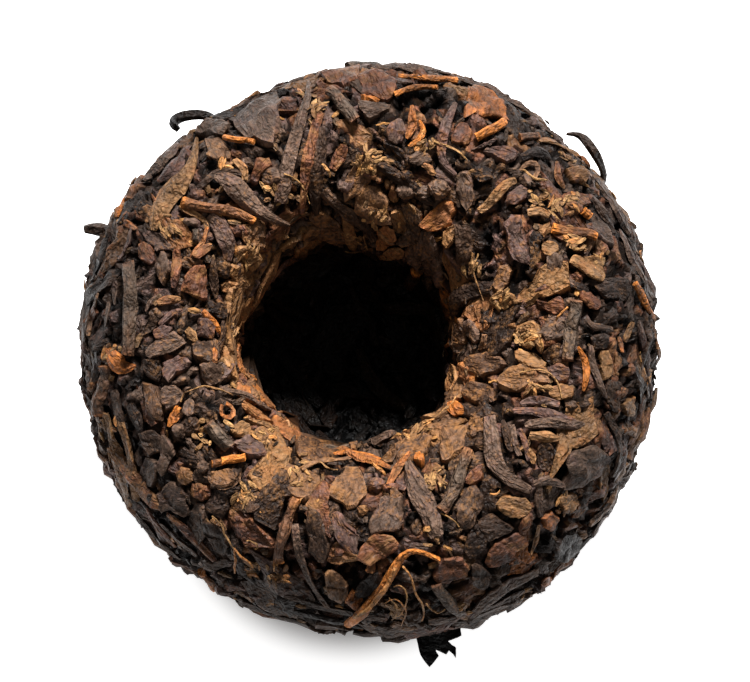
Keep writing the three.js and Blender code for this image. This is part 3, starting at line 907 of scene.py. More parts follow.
# ---- Rolled leaf and twists ----
# Leaves rolled and twisted while fresh. They keep their length when the cake is pressed, so they lie
# over and between the others as ridged, slightly flattened strips.
def rod(name, sides, cuts, draw, taper, twist, ridges, crumple):
    """A closed rod along X, one long and one across: its ends narrow to the taper, and low ridges run
    along it."""
    steps = [(0.5, place, 0) for place in np.linspace(-0.5, 0.5, cuts)]
    piece = draw_out(name, steps, sides)
    points = points_of(piece)[:, [2, 1, 0]] * (1, 1, -1)
    x, y, z = points.T
    turn = np.arctan2(z, y)
    neck = (0.75, 0.95)
    ends = [draw.uniform(*taper), draw.uniform(*neck), 1, draw.uniform(*neck), draw.uniform(*taper)]
    narrow = np.interp(x, [-0.5, -0.3, 0, 0.3, 0.5], ends)
    ridge = 1 + ridges * np.cos(draw.integers(3, 5) * turn + draw.uniform(0, 6) + twist * x)
    far = np.hypot(y, z) * narrow * ridge
    turn = turn + twist * x * 0.3
    set_points(piece, np.column_stack([x, far * np.cos(turn), far * np.sin(turn)]))
    roughen(piece, grain=0.3, strength=crumple)
    points = points_of(piece)
    faces = [tuple(face.vertices) for face in piece.data.polygons]
    leaf_map = []
    for face in faces:
        corner = points[list(face)]
        turns = np.arctan2(corner[:, 2], corner[:, 1])
        middle = math.atan2(corner[:, 2].mean(), corner[:, 1].mean())
        turns = middle + (turns - middle + math.pi) % math.tau - math.pi
        leaf_map.append(np.column_stack([corner[:, 0], turns / math.tau]))
    bpy.data.objects.remove(piece)
    return {"points": points, "faces": faces, "map": np.concatenate(leaf_map)}


def smoothed(line, passes):
    """A row of points with its inner ones drawn towards their neighbours, again and again."""
    line = np.array(line, float)
    for _ in range(passes):
        line[1:-1] = 0.5 * line[1:-1] + 0.25 * (line[:-2] + line[2:])
    return line


route_points = 25


def smooth_route(corners):
    """A smooth line of evenly spaced points through a few corners."""
    corners = np.array(corners, float)
    along = np.concatenate([[0], np.cumsum(np.linalg.norm(np.diff(corners, axis=0), axis=1))])
    places = np.linspace(0, along[-1], route_points)
    return smoothed(np.column_stack([np.interp(places, along, column) for column in corners.T]), 8)


def along_route(route, share):
    places = np.linspace(0, 1, len(route))
    return np.column_stack([np.interp(share, places, column) for column in route.T])


def route_heading(route, share, reach=0.04):
    """The way that a route runs ahead, at shares of its length."""
    return along_route(route, share + reach) - along_route(route, share - reach)


def crosswise(out, ahead):
    """The way across a strip that runs ahead on a surface."""
    side = np.cross(out, ahead)
    return side / np.maximum(np.linalg.norm(side, axis=-1, keepdims=True), 1e-12)


def outside(on):
    """From 0 on the rim to 1 on the outside, where the cloth pressed every piece flush."""
    return smoothstep(np.hypot(on[0], on[1]), 30 * mm, 37 * mm)


flush_depth = 0.3 * mm  # how much lower a strip lies on the outside


def traced_rod(corners_px, width, tint, flat=0.45, lift=0.3 * mm, rise=0.0):
    """A row for a strip or stem that runs through pixels of the photograph's frame. width is one size in
    millimetres or several along it, and rise lifts its middle off the cake."""
    width = np.atleast_1d(width) * mm
    route = np.array([on_cake(px) for px in smooth_route(corners_px)])
    lift -= flush_depth * outside(route[route_points // 2])
    return {
        "route": route, "width": width, "tint": tint, "lift": lift, "tilt": 0.0,
        "thickness": np.mean(width) * flat, "rise": rise,
    }


def scattered_rod(place, draw, length, width, lift, flat, bend=0.12):
    """A row for a strip or stem laid by chance."""
    on, _, way, side = cake_frame(place, lie_of_leaf(place) + draw.normal(0, 0.5))
    long, wide, bow = draw.uniform(*length), draw.uniform(*width), draw.uniform(-bend, bend)
    share = np.linspace(-0.5, 0.5, route_points)
    line = on + np.outer(share * long, way) + np.outer((4 * share**2 - 0.3) * bow * long, side)
    route = np.array([form.find_nearest(Vector(spot))[0] for spot in line])
    return {
        "route": route, "width": np.atleast_1d(wide), "tint": draw.uniform(0, 1),
        "lift": draw.uniform(*lift) - flush_depth * outside(on),
        "tilt": draw.normal(0, 0.15), "thickness": wide * flat, "rise": 0.0,
    }


footprint_step = 0.6 * mm


def route_footprint(row):
    """Points on the cake that a strip covers."""
    points = []
    for share in np.linspace(0.04, 0.96, 16):
        middle = along_route(row["route"], share)[0]
        ahead = route_heading(row["route"], share, 0.03)[0]
        _, out, _, _ = form.find_nearest(Vector(middle))
        side = crosswise(np.array(out), ahead)
        wide = np.interp(share, np.linspace(0, 1, len(row["width"])), row["width"])
        for across in np.linspace(-0.42, 0.42, max(2, int(wide / footprint_step))):
            points.append(middle + side * across * wide)
    return points


def covered():
    """A search tree of the places that the larger pieces already cover."""
    tree = kdtree.KDTree(len(taken))
    for i, point in enumerate(taken):
        tree.insert(point, i)
    tree.balance()
    return tree


clearance = 0.6 * mm
most_overlap = 0.12


def find_room(rows):
    """The rows of scattered strips that mostly lie where nothing larger lies yet."""
    tree = covered()
    kept = []
    for row in rows:
        footprint = route_footprint(row)
        if np.mean([tree.find(point)[2] < clearance for point in footprint]) <= most_overlap:
            kept.append(row)
    return kept


def lay_rod(row, shape):
    """Points, leaf map and heights of one strip laid along its route on the cake."""
    x, y, z = shape["points"].T
    share = np.clip(x + 0.5, 0, 1)
    route = smoothed(row["route"], 4)
    outs = smoothed([form.find_nearest(Vector(spot))[1] for spot in route], 8)
    middle = along_route(route, share)
    ahead = route_heading(route, share)
    out = along_route(outs, share)
    width = np.interp(share, np.linspace(0, 1, len(row["width"])), row["width"])
    spots = middle + crosswise(out, ahead) * (y * width)[:, None]
    up = row["lift"] + z * row["thickness"] + row["tilt"] * y * width
    up += row["rise"] * np.sin(math.pi * share) ** 0.7
    length = np.linalg.norm(np.diff(row["route"], axis=0), axis=1).sum()
    leaf_map = shape["map"] * (length / mm, 3 * np.mean(width) / mm) + 17 * row["tint"]
    spots = np.array([form.find_nearest(Vector(spot))[0] for spot in spots])
    return spots + out * up[:, None], leaf_map, up


def press_in(traced, chance, shapes, draw, tips=0.0):
    """Strips or stems of one kind: all the traced ones, and those laid by chance that find room."""
    for row in traced:
        taken.extend(route_footprint(row))
    found = find_room(chance)
    for row in found:
        taken.extend(route_footprint(row))
    pieces = Pieces()
    for row in traced + found:
        pieces.lay(lay_rod, row, shapes, draw, tips)
    return pieces


strips_px = {
    "long grey strip": (
        [(310, 83), (308, 103), (298, 128), (291, 152), (285, 176), (280, 201)], [1.6, 2.0, 2.6], grey),
    "brown strip beside it": (
        [(320, 113), (315, 132), (309, 152), (306, 170), (303, 188), (301, 212)], 1.7, red),
    "third strip": ([(322, 128), (320, 152), (315, 176), (316, 214)], 1.9, dark),
    "curved twist": (
        [(216, 176), (232, 181), (243, 197), (254, 209), (270, 218), (288, 224)],
        [2.4, 3.3, 2.4, 1.8, 1.5], grey),
    "dark edge above it": ([(192, 193), (205, 184), (216, 173), (231, 169), (243, 176)], 1.0, dark),
    "grey leaf along the outline": ([(184, 138), (168, 154), (153, 171), (146, 181)], 2.5, grey),
    "grey leaf inside it": ([(187, 148), (173, 169), (158, 182)], 2.2, purple),
    "top rim": ([(375, 66), (401, 66), (431, 70), (452, 70)], 2.0, grey),
    "top rim, right": (
        [(455, 78), (472, 74), (486, 75), (500, 84), (518, 98), (535, 110)], [1.6, 2.4, 2.2], grey),
    "grey curl": (
        [(456, 105), (446, 120), (441, 140), (441, 158), (448, 171), (455, 176)], [1.9, 1.9, 1.4, 1.0],
        purple),
    "stub by the grey curl": ([(423, 164), (436, 175)], 1.0, tan),
    "red stub": ([(345, 145), (338, 160), (332, 170)], 1.7, red),
    "dark curl by the ring": ([(521, 158), (533, 152), (545, 153), (550, 161)], 1.4, near_black),
    "strip on the right outline": ([(545, 116), (561, 129), (569, 138)], 1.2, grey),
    "purple strip inside it": ([(552, 131), (561, 143), (565, 149)], 1.4, purple),
    "red strip inside that": ([(557, 162), (557, 177), (564, 189)], 1.0, red),
    "right outline 1": ([(600, 185), (615, 207), (630, 234)], 1.7, grey),
    "right outline 2": ([(593, 197), (605, 215), (615, 234)], 1.4, dark),
    "right outline 3": ([(620, 230), (632, 258), (646, 283)], 1.7, grey),
    "right outline 4": ([(639, 321), (646, 356), (652, 398)], 1.3, purple),
    "right outline 5": ([(653, 314), (658, 342), (660, 370)], 1.0, tan),
    "olive strip": ([(552, 276), (565, 281), (576, 287)], 1.4, grey),
    "purple strip below it": ([(570, 284), (579, 288), (588, 290)], 1.2, near_black),
    "dark rolled leaf, right": ([(585, 320), (593, 328), (611, 330)], 1.2, dark),
    "long dark curve": ([(590, 346), (592, 367), (599, 384), (606, 398)], 1.1, grey),
    "left outline 1": ([(116, 278), (114, 291), (115, 305)], 0.9, grey),
    "left outline 2": ([(109, 302), (107, 314), (106, 327)], 1.0, grey),
    "left outline 3": ([(106, 238), (101, 256), (92, 281)], 1.4, near_black),
    "grey strip by the flake": ([(212, 260), (213, 281), (215, 300)], 1.2, dark),
    "thin red leaf": ([(178, 248), (177, 268), (174, 288)], 1.4, red),
    "rolled leaf by the vertical stem": ([(156, 304), (167, 300), (181, 299)], 1.3, tan),
    "thin edge over it": ([(147, 312), (150, 302), (157, 297)], 0.6, grey),
    "thin edge below it": ([(160, 325), (173, 313), (183, 310)], 0.8, purple),
    "dark leaf on the left wall": ([(114, 390), (117, 405), (122, 422)], 1.7, dark),
    "dark leaf beside that": ([(131, 404), (136, 418), (141, 430)], 1.8, near_black),
    "curl in the pocket": ([(184, 447), (190, 456), (200, 458)], 1.1, dark),
    "strips towards the hollow's left": ([(222, 391), (244, 395), (269, 411)], 1.1, grey),
    "lower left 1": ([(167, 514), (185, 530), (203, 547), (215, 561)], 1.4, red),
    "lower left 2": ([(160, 523), (178, 540), (197, 556)], 1.2, grey),
    "lower left 3": ([(146, 508), (158, 528), (176, 547)], 1.3, red),
    "lower left 4": ([(137, 515), (150, 532), (165, 547), (180, 559)], 1.3, dark),
    "lower left outline": ([(82, 434), (93, 457), (108, 483), (120, 504)], 1.2, dark),
    "long curved strip": (
        [(294, 524), (296, 545), (303, 564), (314, 589), (329, 608)], [1.4, 1.2, 1.1], grey),
    "grey leaf to the fork": (
        [(408, 462), (417, 490), (430, 515), (438, 536)], [1.6, 3.0, 3.4, 3.0], grey),
    "long near strip 1": ([(284, 596), (310, 604), (351, 614), (384, 619)], 1.4, dark),
    "long near strip 2": ([(292, 611), (324, 619), (364, 628)], 1.3, near_black),
    "long near strip 3": ([(203, 584), (237, 600), (270, 614), (310, 626)], 1.7, dark),
    "near right leaf": ([(470, 616), (490, 598), (510, 584), (538, 572)], [1.6, 2.8, 2.6], grey),
    "near right leaf 2": ([(480, 611), (505, 601), (525, 590)], 1.4, dark),
    "big twist": (
        [(490, 418), (492, 440), (493, 462), (502, 477), (517, 486), (531, 491)],
        [2.2, 2.9, 2.8, 2.6, 1.8], grey),
    "fan 1": ([(520, 406), (536, 399), (560, 405)], 1.5, purple),
    "fan 2": ([(515, 411), (547, 414), (574, 421)], 1.3, purple),
    "fan 3": ([(526, 425), (558, 422), (591, 427)], 1.6, grey),
    "fan 4": ([(511, 425), (515, 444), (520, 457)], 1.0, grey),
    "fan 5": ([(520, 428), (526, 446), (528, 462)], 0.9, purple),
    "fan 6": ([(503, 421), (506, 434), (512, 453)], 1.0, dark),
    "edge of the dusty lump": ([(535, 484), (547, 480), (564, 486)], 1.4, grey),
    "strip below the edge": ([(539, 487), (538, 504), (540, 517)], 1.2, dark),
    "right wall 1": ([(606, 413), (618, 434), (621, 457), (613, 477)], 1.2, dark),
    "right wall 2": ([(627, 470), (631, 484), (625, 504), (607, 524), (587, 548)], 1.7, grey),
    "right side of the lit leaf": ([(529, 512), (526, 524), (521, 534)], 1.6, red),
}
draw = np.random.default_rng(31)
strip_shapes = [
    rod(
        "strip_form", 10, 9, draw, taper=(0.35, 0.8),
        twist=draw.uniform(-4, 4), ridges=draw.uniform(0.08, 0.2), crumple=0.16,
    )
    for _ in range(8)
]
strips = [traced_rod(*strip) for strip in strips_px.values()]
chance = [
    scattered_rod(
        place, draw, length=(5 * mm, 14 * mm), width=(1.2 * mm, 2.8 * mm),
        lift=(-0.05 * mm, 0.4 * mm), flat=0.5,
    )
    for place in even_places(150, draw)
]
rolled = press_in(strips, chance, strip_shapes, draw)
long_veins = (0.3, 2.0)
finish = leaf_finish("rolled_leaf", dark_shades, leaf_dust, dusty=0.2, vein_stretch=long_veins)
rolled.join("rolled_leaf", finish, "pressed_leaf")


# ---- Brown and golden strips ----
# Long strips and rolled ends of the same less fermented leaf, with the broad band of it on the left
# wall. They are pressed in among the dark ones.
brown_strips_px = {
    "golden leaf at the far left": (
        [(197, 139), (197, 157), (189, 173), (177, 185), (164, 199), (158, 216), (154, 230)],
        [1.0, 1.7, 2.8, 3.6, 3.8, 3.0], gold),
    "golden arc over the stem end": (
        [(180, 206), (185, 213), (197, 214), (205, 220), (207, 229)], 1.0, gold),
    "golden curl": ([(234, 162), (243, 168), (244, 181)], 1.3, gold),
    "orange strip at the left outline": ([(127, 194), (121, 205), (117, 217)], 1.0, orange),
    "orange curl at the left": ([(124, 221), (131, 226), (137, 229)], 1.0, rust),
    "arc round the stem end": ([(207, 227), (204, 241), (191, 257)], 0.7, rust),
    "orange curl leaf": ([(107, 348), (114, 360), (124, 369), (136, 366)], [1.4, 2.4, 2.2, 1.2], orange),
    "left wall 1": ([(98, 293), (93, 312), (88, 336)], 1.0, brown),
    "golden band on the left wall 1": ([(106, 413), (112, 440), (122, 475), (131, 515)], 2.4, gold),
    "golden band on the left wall 2": ([(117, 415), (127, 440), (133, 470), (136, 500)], 2.0, gold),
    "tan wedge at the hollow": ([(202, 311), (212, 323), (222, 336)], 1.2, orange),
    "gold wedge": ([(186, 329), (196, 341)], 1.4, gold),
    "rust strip": ([(213, 348), (214, 363)], 1.0, rust),
    "ring": ([(225, 404), (233, 409), (233, 418), (224, 420), (218, 413), (221, 405)], 0.8, rust),
    "orange chips": ([(179, 407), (174, 418), (170, 427)], 1.2, orange),
    "spiral ring": ([(520, 172), (526, 163), (536, 163), (539, 172), (533, 180)], 0.9, brown),
    "orange curl 1": ([(412, 107), (412, 128), (407, 139)], 1.1, rust),
    "orange curl 2": ([(419, 120), (425, 130), (420, 140), (408, 147)], 0.8, orange),
    "golden strip by the ring": ([(517, 180), (506, 183), (490, 203), (478, 212)], 1.4, gold),
    "golden strip inside it": ([(528, 213), (539, 212), (550, 216)], 1.3, gold),
    "orange in the sprung curl's gap": ([(580, 152), (585, 160), (591, 167)], 1.1, rust),
    "orange stick near the grey stem": ([(577, 347), (585, 360), (587, 377), (583, 391)], 0.9, orange),
    "rust strip at the right": ([(618, 337), (622, 353)], 0.9, rust),
    "pinkish leaf at the right": ([(633, 322), (628, 332), (625, 342)], 1.1, gold),
    "band on the near lip 1": ([(316, 433), (330, 446), (350, 455), (372, 461), (390, 469)], 1.7, rust),
    "band on the near lip 2": ([(333, 456), (350, 454), (368, 457), (381, 461)], 1.2, orange),
    "strip up from the fork leaf": ([(388, 488), (397, 471), (409, 453)], 1.1, rust),
    "golden splinter at the lower right": ([(539, 525), (536, 541), (531, 555)], 0.7, gold),
    "fan, golden": ([(528, 448), (534, 465)], 1.0, gold),
    "fan, crumpled": ([(531, 436), (545, 436), (558, 439)], 1.4, gold),
    "right wall, golden": ([(618, 486), (611, 504), (590, 525)], 1.5, brown),
    "near edge bulge 1": ([(542, 582), (550, 581)], 1.7, rust),
    "near edge bulge 2": ([(533, 600), (542, 592)], 2.0, rust),
    "near brown band": ([(392, 624), (404, 627), (417, 628)], 1.8, brown),
    "near brown band 2": ([(428, 622), (446, 620), (462, 616)], 1.8, umber),
}
draw = np.random.default_rng(34)
strips = [traced_rod(*strip) for strip in brown_strips_px.values()]
chance = [
    scattered_rod(
        place, draw, length=(5 * mm, 12 * mm), width=(1.0 * mm, 2.6 * mm),
        lift=(-0.05 * mm, 0.35 * mm), flat=0.5,
    )
    for place in even_places(60, draw)
]
brown_strips = press_in(strips, chance, strip_shapes, draw)
finish = leaf_finish("brown_strip", brown_shades, brown_dust, dusty=0.3, vein_stretch=long_veins)
brown_strips.join("brown_strips", finish, "brown_leaf")


# ---- Stems ----
# Stalks that were picked with the leaves: round, straight and stiff, redder than the leaf, with a paler
# cut at their ends.
stems_px = {
    "vertical stem": ([(129, 262), (132, 293), (131, 323), (129, 354)], [2.2, 2.3, 2.2, 1.9], 0.3),
    "red-brown stem": ([(185, 203), (209, 208), (239, 216), (252, 221)], [1.8, 1.6, 1.2], 0.65),
    "orange stick under the flap": ([(227, 139), (255, 144)], 0.95, 1.0),
    "cut stem at the far side": ([(332, 93), (343, 106), (355, 121)], 1.9, 0.3),
    "yellowish stem 1": ([(397, 78), (425, 79), (456, 81)], 1.1, 0.95),
    "yellowish stem 2": ([(395, 95), (411, 88), (438, 88)], 0.9, 0.9),
    "orange stick on the far rim": ([(476, 138), (488, 132), (503, 125)], 1.4, 1.0),
    "orange stick at the right edge": (
        [(634, 283), (640, 293), (646, 308), (652, 317)], [1.0, 1.3, 1.1, 0.7], 1.0),
    "grey flat stem": ([(576, 300), (572, 328), (566, 361)], 1.9, 0.2),
    "stem at the near right": ([(468, 455), (459, 476), (450, 500), (443, 512)], 1.95, 0.3),
    "stem at the near left": ([(296, 502), (287, 523), (280, 543), (278, 561)], 1.6, 0.55),
    "green-grey stem end": ([(208, 423), (218, 434), (230, 447)], 2.1, 0.15),
    "bright chip": ([(221, 462), (246, 459)], 1.25, 1.1),
    "red stem behind the chip": ([(211, 464), (222, 463)], 1.1, 0.7),
    "knob stem": ([(519, 139), (538, 138)], 1.3, 0.5),
    "stem end": ([(192, 236), (200, 236)], 2.2, 0.1),
    "orange bit": ([(582, 211), (588, 217)], 1.4, 1.0),
    "forked stem": (
        [(439, 558), (424, 551), (409, 546), (402, 549), (397, 563), (388, 580), (371, 603),
        (348, 622)], [0.6, 0.8, 1.1, 1.4, 1.4, 1.7, 1.5], 1.0),
}
draw = np.random.default_rng(32)
stem_shapes = [
    rod("stem_form", 9, 16, draw, taper=(0.88, 1.0), twist=0.3, ridges=0.05, crumple=0.05)
    for _ in range(5)
]
stalks = [traced_rod(*stem, flat=0.9, lift=0.5 * mm) for stem in stems_px.values()]
chance = [
    scattered_rod(
        place, draw, length=(4 * mm, 10 * mm), width=(1.1 * mm, 2.1 * mm),
        lift=(0.1 * mm, 0.4 * mm), flat=0.85, bend=0.04,
    )
    for place in even_places(40, draw)
]
reddest_by_chance = 0.8  # only traced stems are redder
for row in chance:
    row["tint"] *= reddest_by_chance
stems = press_in(stalks, chance, stem_shapes, draw, tips=0.3)
stem_shades = [
    (0, (0.05, 0.036, 0.026)),
    (0.3, (0.075, 0.048, 0.032)),
    (0.6, (0.11, 0.048, 0.024)),
    (0.8, (0.17, 0.066, 0.022)),
    (1, (0.42, 0.14, 0.028)),
]
stem_dust = (0.26, 0.14, 0.06)
finish = leaf_finish("stem", stem_shades, stem_dust, dusty=0.15, vein=0.3, vein_stretch=long_veins)
stems.join("stems", finish, "stem")


# ---- Knots and buds ----
# Small leaves that balled up when they were rolled, and downy golden buds that frayed into tufts. Both
# are wedged between the larger leaves.
knots_px = {
    "knot by the arc": ((197, 194), 1.0, purple),
    "knots over the hollow 1": ((406, 177), 1.1, near_black),
    "knots over the hollow 2": ((407, 192), 1.3, grey),
    "knots over the hollow 3": ((423, 194), 1.1, grey),
    "knots over the hollow 4": ((439, 189), 1.5, grey), "left knot 1": ((178, 430), 1.1, grey),
    "left knot 2": ((190, 427), 1.3, dark), "left knot 3": ((184, 476), 1.2, tan),
    "left knot 4": ((203, 467), 0.9, grey), "left knot 5": ((201, 491), 1.4, red),
    "near knot 1": ((376, 485), 1.2, purple), "near knot 2": ((362, 510), 0.7, tan),
}
draw = np.random.default_rng(35)
knot_rings = [0.3, 0.55, 0.78, 0.93, 1.0]
knot_shapes = [
    leaf_pillow("knot_form", draw, 14, knot_rings, shoulder=0.0, crumple=0.7) for _ in range(5)
]
knots = Pieces()


def knot(place, heading, size, draw, uneven, lift):
    """A row for a knot of a size in millimetres, and as high as three quarters of it."""
    on, _, way, side = cake_frame(place, heading)
    reach = size * mm * draw.uniform(1 - uneven, 1 + uneven, 14)
    return {
        "on": on, "way": way, "side": side, "reach": reach, "lift": lift, "thickness": 0.75 * size * mm,
        "tilt": 0, "pitch": 0, "fold": 0.3 * mm, "ridge": 0.12 * mm,
    }


for px, size, tint in knots_px.values():
    row = knot(on_cake(px), draw.uniform(0, math.pi), size, draw, uneven=0.15, lift=-0.1 * mm)
    row["tint"] = tint
    cover(row)
    knots.lay(lay_leaf, row, knot_shapes, draw)
knot_clearance = 1.2 * mm
for place in even_places(40, draw):
    heading, size = draw.uniform(0, math.pi), draw.uniform(0.7, 1.5)
    row = knot(place, heading, size, draw, uneven=0.2, lift=-0.3 * mm)
    row["tint"] = draw.uniform(0, 1)
    if covered().find(row["on"])[2] > knot_clearance:
        cover(row)
        knots.lay(lay_leaf, row, knot_shapes, draw)
knots.join("knots", leaf_finish("knot", dark_shades, leaf_dust, dusty=0.3), "pressed_leaf")

tufts_px = {
    "far tuft": ((368, 160), 11, 26), "by the ring 1": ((538, 200), 8, 16),
    "by the ring 2": ((556, 207), 7, 14), "by the ring 3": ((573, 201), 7, 14),
    "right cluster": ((570, 238), 10, 20), "gold tangle": ((528, 338), 14, 30),
    "gold crumple": ((502, 299), 11, 22), "near tuft": ((460, 611), 9, 24),
    "lip tuft": ((435, 481), 9, 18), "left band": ((108, 427), 9, 18), "flap tuft": ((226, 166), 5, 8),
    "orange patch": ((277, 576), 10, 20), "yellow spot": ((247, 256), 10, 24),
    "yellow patch": ((262, 440), 9, 18), "long strips' top": ((316, 108), 7, 14),
    "hollow's far lip": ((380, 215), 12, 18), "yellow-brown patch": ((248, 497), 12, 20),
    "near left": ((250, 568), 9, 14), "near middle": ((400, 612), 9, 16),
    "near lip": ((300, 480), 12, 14),
}
draw = np.random.default_rng(36)
hair_shapes = [
    rod("bud_form", 5, 4, draw, taper=(0.2, 0.6), twist=0, ridges=0, crumple=0.1) for _ in range(4)
]
buds = Pieces()
for px, spread_px, count in tufts_px.values():
    for _ in range(count):
        spot_px = np.array(px) + draw.normal(0, spread_px / 2, 2)
        row = scattered_rod(
            on_cake(spot_px), draw, length=(0.7 * mm, 2.2 * mm), width=(0.35 * mm, 0.9 * mm),
            lift=(0.2 * mm, 0.6 * mm), flat=0.5,
        )
        buds.lay(lay_rod, row, hair_shapes, draw)
for place in even_places(60, draw):
    for _ in range(12):
        row = scattered_rod(
            place + draw.normal(0, 0.8 * mm, 3), draw, length=(0.7 * mm, 2.0 * mm),
            width=(0.35 * mm, 0.9 * mm), lift=(-0.1 * mm, 0.5 * mm), flat=0.5,
        )
        buds.lay(lay_rod, row, hair_shapes, draw)
bud_shades = [
    (0, (0.09, 0.042, 0.018)),
    (0.4, (0.15, 0.078, 0.033)),
    (0.75, (0.24, 0.13, 0.050)),
    (1, (0.30, 0.12, 0.035)),
]
bud_dust = (0.28, 0.155, 0.06)
buds.join("golden_buds", leaf_finish("golden_bud", bud_shades, bud_dust, dusty=0.3), "golden_bud")


# ---- Fibres ----
# Hair-thin threads that tore off the stems when the tea was rolled. The leaf round them holds them, and
# they lie on the cake or loop clear of it.
fibres_px = {
    "long pale thread": ([(402, 566), (413, 575), (419, 594), (421, 617)], 0.35, 0.9, 1.2),
    "loop 1": ([(393, 586), (399, 580), (406, 589), (403, 606), (395, 614)], 0.25, 0.8, 1.0),
    "loop 2": ([(390, 594), (398, 597), (398, 608), (391, 616)], 0.25, 0.5, 0.8),
    "loop 3": ([(386, 600), (394, 590), (404, 596), (407, 612), (400, 622)], 0.22, 0.9, 0.8),
    "arc": ([(425, 600), (436, 609), (445, 606)], 0.3, 0.8, 0.4),
    "left thread": ([(213, 514), (225, 530), (236, 546)], 0.32, 0.7, 0.3),
    "left fork 1": ([(236, 546), (238, 560), (237, 571)], 0.4, 1.0, 0.3),
    "left fork 2": ([(236, 546), (247, 557), (255, 566)], 0.4, 1.0, 0.3),
    "left loop": ([(245, 541), (252, 535), (262, 537), (262, 545), (254, 549)], 0.3, 0.8, 0.5),
    "second strand of the fork": ([(396, 566), (386, 586), (372, 600), (356, 614)], 0.8, 0.9, 0.6),
    "splinter 1": ([(319, 164), (330, 177)], 0.5, 0.9, 0.5),
    "splinter 2": ([(567, 308), (557, 320)], 0.4, 1.0, 0.6),
    "splinter 3": ([(373, 468), (384, 480)], 0.6, 1.0, 0.5),
    "ring's tail": ([(523, 174), (533, 181), (545, 183)], 0.4, 0.7, 0.6),
    "white thread": ([(489, 494), (494, 490), (499, 489)], 0.4, 0.9, 0.7),
}
draw = np.random.default_rng(37)
thread_shapes = [
    rod("thread_form", 5, 24, draw, taper=(0.5, 0.8), twist=0, ridges=0, crumple=0.02) for _ in range(3)
]
threads = Pieces()
rows = [
    traced_rod(corners, width, tint, flat=1.0, lift=0.9 * mm, rise=rise * mm)
    for corners, width, tint, rise in fibres_px.values()
]
fibre_reach = 29 * mm  # none is left standing on the outside
rows += [
    scattered_rod(
        place, draw, length=(3 * mm, 9 * mm), width=(0.18 * mm, 0.35 * mm),
        lift=(0.4 * mm, 0.7 * mm), flat=1.0, bend=0.4,
    )
    for place in even_places(60, draw)
    if math.hypot(place[0], place[1]) < fibre_reach
]
for row in rows:
    threads.lay(lay_rod, row, thread_shapes, draw)
fibre_dust = (0.4, 0.22, 0.08)
threads.join("fibres", leaf_finish("fibre", bud_shades, fibre_dust, dusty=0.3), "golden_bud")


# ---- Loose ends at the edge ----
# A few leaves stand clear of the cake where the cloth did not press them: a hooked curl and a stub on
# the left, a curl sprung from the right shoulder, and a torn leaf at the near side, nearly black in its
# tint and darker still with painted shade.
sight_steps = np.linspace(0.36, 0.44, 161)  # metres from the camera, half a millimetre apart


def beside_cake(px):
    """The point of a pixel's sight line that is nearest the cake."""
    ahead = sight_line(px)
    tries = [camera_place + ahead * far for far in sight_steps]
    return np.array(min(tries, key=lambda spot: form.find_nearest(spot)[3]))


def curl(corners_px, width, thickness, shape):
    """Points, leaf map and heights of a curl that leaves the cake and runs beside it."""
    route = smooth_route([beside_cake(px) for px in corners_px])
    x, y, z = shape["points"].T
    share = np.clip(x + 0.5, 0, 1)
    side = crosswise(np.array(camera_back), route_heading(route, share))
    width = np.interp(share, np.linspace(0, 1, len(width)), width) * mm
    points = along_route(route, share) + side * (y * width)[:, None]
    points += np.outer(z * thickness, camera_back)
    length = np.linalg.norm(np.diff(route, axis=0), axis=1).sum()
    return points, shape["map"] * (length / mm, 3 * np.mean(width) / mm), np.zeros(len(points))


draw = np.random.default_rng(33)
loose_shapes = [
    rod("loose_form", 10, 14, draw, taper=(0.5, 0.8), twist=2, ridges=0.1, crumple=0.12)
    for _ in range(3)
]
loose_px = {
    "hooked curl": (
        [(216, 119), (203, 114), (187, 114), (175, 119), (172, 126), (179, 130)], [1.4, 1.6, 1.5], 1.6,
        near_black),
    "stub": ([(84, 229), (95, 229), (106, 231), (114, 233)], [1.5, 2.0, 1.8], 1.9, dark),
    "sprung curl": (
        [(566, 134), (572, 132), (582, 135), (590, 146), (598, 158), (604, 172), (606, 180),
        (602, 186)], [0.8, 1.6, 1.4, 1.1, 1.3], 1.6, dark),
}
loose = Pieces()
for (corners, width, thickness, tint), shape in zip(loose_px.values(), loose_shapes):
    loose.add(curl(corners, width, thickness * mm, shape), shape["faces"], tint)

torn_outline_px = [
    (415.7, 628), (417, 640), (420.4, 654.6), (429.5, 666.7), (438.5, 656.4),
    (435.4, 649.3), (446, 654.6), (449.2, 650.2), (455.9, 657.3), (455.9, 648.4),
    (447.9, 641.2), (460.8, 635.9), (459.9, 626), (438, 622),
]
torn_thickness = 0.5 * mm
# Painted shade: the torn leaf counts as sunk, which darkens its colour.
torn_shade_sunk = -0.3
torn_middle = Vector(beside_cake((432, 640)))
bpy.ops.object.select_all(action="DESELECT")
bpy.ops.mesh.primitive_circle_add(vertices=len(torn_outline_px), radius=1, fill_type="NGON")
torn = bpy.context.object
torn.name = "torn_leaf_form"
set_points(torn, np.array([abreast(px, torn_middle) for px in torn_outline_px]))
bpy.ops.object.mode_set(mode="EDIT")
bpy.ops.mesh.select_all(action="SELECT")
bpy.ops.mesh.quads_convert_to_tris(ngon_method="BEAUTY")
bpy.ops.mesh.subdivide(number_cuts=3)
bpy.ops.object.mode_set(mode="OBJECT")
roughen(torn, grain=2.5 * mm, strength=1.6 * mm)
wall = torn.modifiers.new("wall", "SOLIDIFY")
wall.thickness = torn_thickness
wall.offset = 0
finish_modifiers(torn)
points = points_of(torn)
faces = [tuple(face.vertices) for face in torn.data.polygons]
torn_map = points[np.concatenate(faces)][:, :2] / mm
loose.add((points, torn_map, np.full(len(points), torn_shade_sunk)), faces, near_black)
bpy.data.objects.remove(torn)
loose.join("loose_ends", leaf_finish("loose_leaf", dark_shades, leaf_dust, dusty=0.1), "pressed_leaf")


